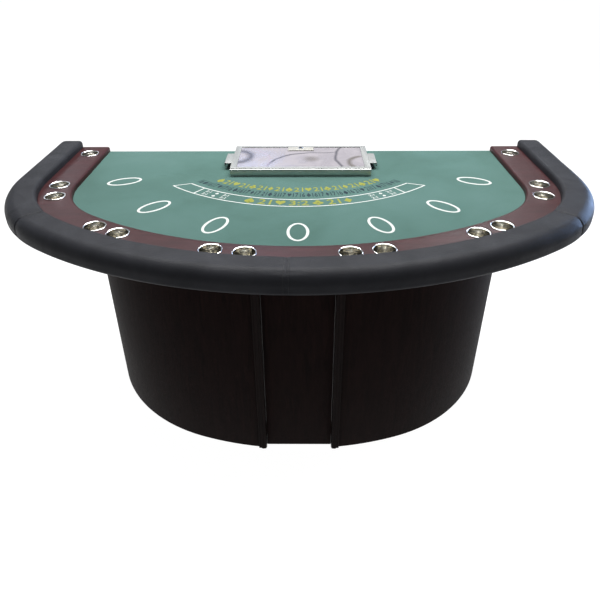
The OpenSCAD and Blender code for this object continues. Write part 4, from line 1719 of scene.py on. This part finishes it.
@dataclass
class Base:
    """Bent side panels between posts, on levelling feet, with plywood formers inside."""

    panel_edge: float = 0.0012
    board_edge: float = 0.0015

    def build(self) -> list[bpy.types.Object]:
        """Builds and finishes the base."""
        made: list[bpy.types.Object] = []
        for side in ("left", "right"):
            made.append(BeadedPost(side).build())
            made.append(swap("side_panel_" + side, "table", "base_panel", ESPRESSO,
                             self.panel_edge))
            made.append(swap("post_rear_" + side, "table", "base_post", ESPRESSO_POST,
                             self.board_edge))
        made.append(swap("front_panel", "table", "base_panel", ESPRESSO,
                         self.panel_edge))
        for node in ("rear_apron", "rear_stretcher"):
            made.append(swap(node, "table", "base_rail", ESPRESSO_RAIL,
                             self.board_edge))
        for corner in ("front_left", "front_right", "rear_left", "rear_right"):
            made.append(Leveller(corner).build())
        dress("upper_former", PLYWOOD)
        dress("lower_former", PLYWOOD)
        dress("deck_bolts", ZINC)
        dress("rail_screws", ZINC)
        dress("foot_inserts", BRASS)
        return made


# ---- Studio ------------------------------------------------------------------


@dataclass(frozen=True)
class SoftLight:
    """Large soft light aimed at a point."""

    name: str
    place: tuple[float, float, float]
    target: tuple[float, float, float]
    size: Point
    power: float
    colour: Colour = (1.0, 1.0, 1.0)

    def build(self) -> None:
        """Adds the light."""
        data = bpy.data.lights.new(self.name, "AREA")
        data.shape = "RECTANGLE"
        data.size, data.size_y = self.size
        data.energy = self.power
        data.color = self.colour
        lamp = bpy.data.objects.new(self.name, data)
        lamp.location = self.place
        aim = Vector(self.target) - Vector(self.place)
        lamp.rotation_euler = aim.to_track_quat("-Z", "Y").to_euler()
        bpy.context.scene.collection.objects.link(lamp)


@dataclass
class Studio:
    """Pale floor, soft lights and the camera."""

    eye: tuple[float, float, float] = (0.0201, -1.9137, 1.6918)
    tilt: tuple[float, float, float] = (57.448, 0.2296, 0.3417)
    lens: float = 34.435
    floor_size: float = 60.0
    ambient: float = 0.26

    def camera(self) -> None:
        """Adds the camera."""
        data = bpy.data.cameras.new("camera")
        data.lens = self.lens
        data.sensor_width = 36.0
        data.clip_start, data.clip_end = 0.01, 200.0
        holder = bpy.data.objects.new("camera", data)
        holder.location = self.eye
        holder.rotation_euler = [math.radians(a) for a in self.tilt]
        bpy.context.scene.collection.objects.link(holder)
        bpy.context.scene.camera = holder

    def floor(self) -> None:
        """Adds a pale floor under the feet."""
        bm = bmesh.new()
        bmesh.ops.create_grid(bm, x_segments=8, y_segments=8, size=self.floor_size / 2)
        mesh = bpy.data.meshes.new("floor")
        bm.to_mesh(mesh)
        bm.free()
        k = Recipe("pale_floor")
        mesh.materials.append(k.finish(Base_Color=(0.12, 0.12, 0.12), Roughness=0.9,
                                       Specular_IOR_Level=0.1,
                                       Emission_Color=(1.0, 1.0, 1.0),
                                       Emission_Strength=0.98))
        floor = bpy.data.objects.new("floor", mesh)
        bpy.context.scene.collection.objects.link(floor)

    def air(self) -> None:
        """Sets the even light from all round."""
        world = bpy.data.worlds.new("studio")
        world.use_nodes = True
        shade = world.node_tree.nodes["Background"]
        shade.inputs["Color"].default_value = rgba((0.95, 0.97, 1.0))
        shade.inputs["Strength"].default_value = self.ambient
        bpy.context.scene.world = world

    def build(self) -> None:
        """Sets up the camera, floor and lights."""
        bpy.context.scene.view_settings.view_transform = "Standard"
        self.camera()
        self.floor()
        self.air()
        lights = (
            SoftLight("overhead", (0.1, 0.9, 3.5), (0.0, 0.2, 0.8), (3.6, 2.0), 400.0),
            SoftLight("left_window", (-3.4, 1.4, 2.1), (-0.9, 0.0, 0.9), (1.0, 1.6),
                      3.0, (0.60, 0.75, 1.0)),
            SoftLight("right_window", (3.1, 1.5, 1.0), (1.0, 0.0, 0.9), (1.6, 0.9),
                      62.0, (0.38, 0.58, 1.0)),
            SoftLight("rear_window_right", (1.62, 3.0, 2.8), (0.5, -0.4, 0.9),
                      (0.42, 0.6), 14.0, (0.90, 0.96, 1.0)),
            SoftLight("rear_window_middle", (-0.4, 3.1, 2.4), (-0.9, 0.0, 0.9),
                      (0.45, 0.5), 4.0, (0.45, 0.62, 1.0)),
            SoftLight("rear_window_left", (-2.25, 3.1, 2.0), (-0.9, 0.1, 0.9),
                      (0.5, 0.6), 3.0, (0.85, 0.92, 1.0)),
        )
        for light in lights:
            light.build()


# ---- Build -------------------------------------------------------------------


def main() -> None:
    """Builds every sub-assembly in order and reports its pieces."""
    logging.basicConfig(level=logging.INFO, format="%(name)s: %(message)s")
    Studio().build()
    cups = [CupHolder(i) for i in range(1, 15)]
    groups = {
        "armrest": Armrest().build(),
        "cup track": [CupTrack().build([cup.centre() for cup in cups])],
        "cup holders": [cup.build() for cup in cups],
        "playing surface": Playfield().build(),
        "chip tray": ChipTray().build(),
        "base": Base().build(),
    }
    for group, pieces in groups.items():
        for piece in pieces:
            LOG.info("%s: %s, %d faces", group, piece.name, len(piece.data.polygons))


if __name__ == "__main__":
    main()
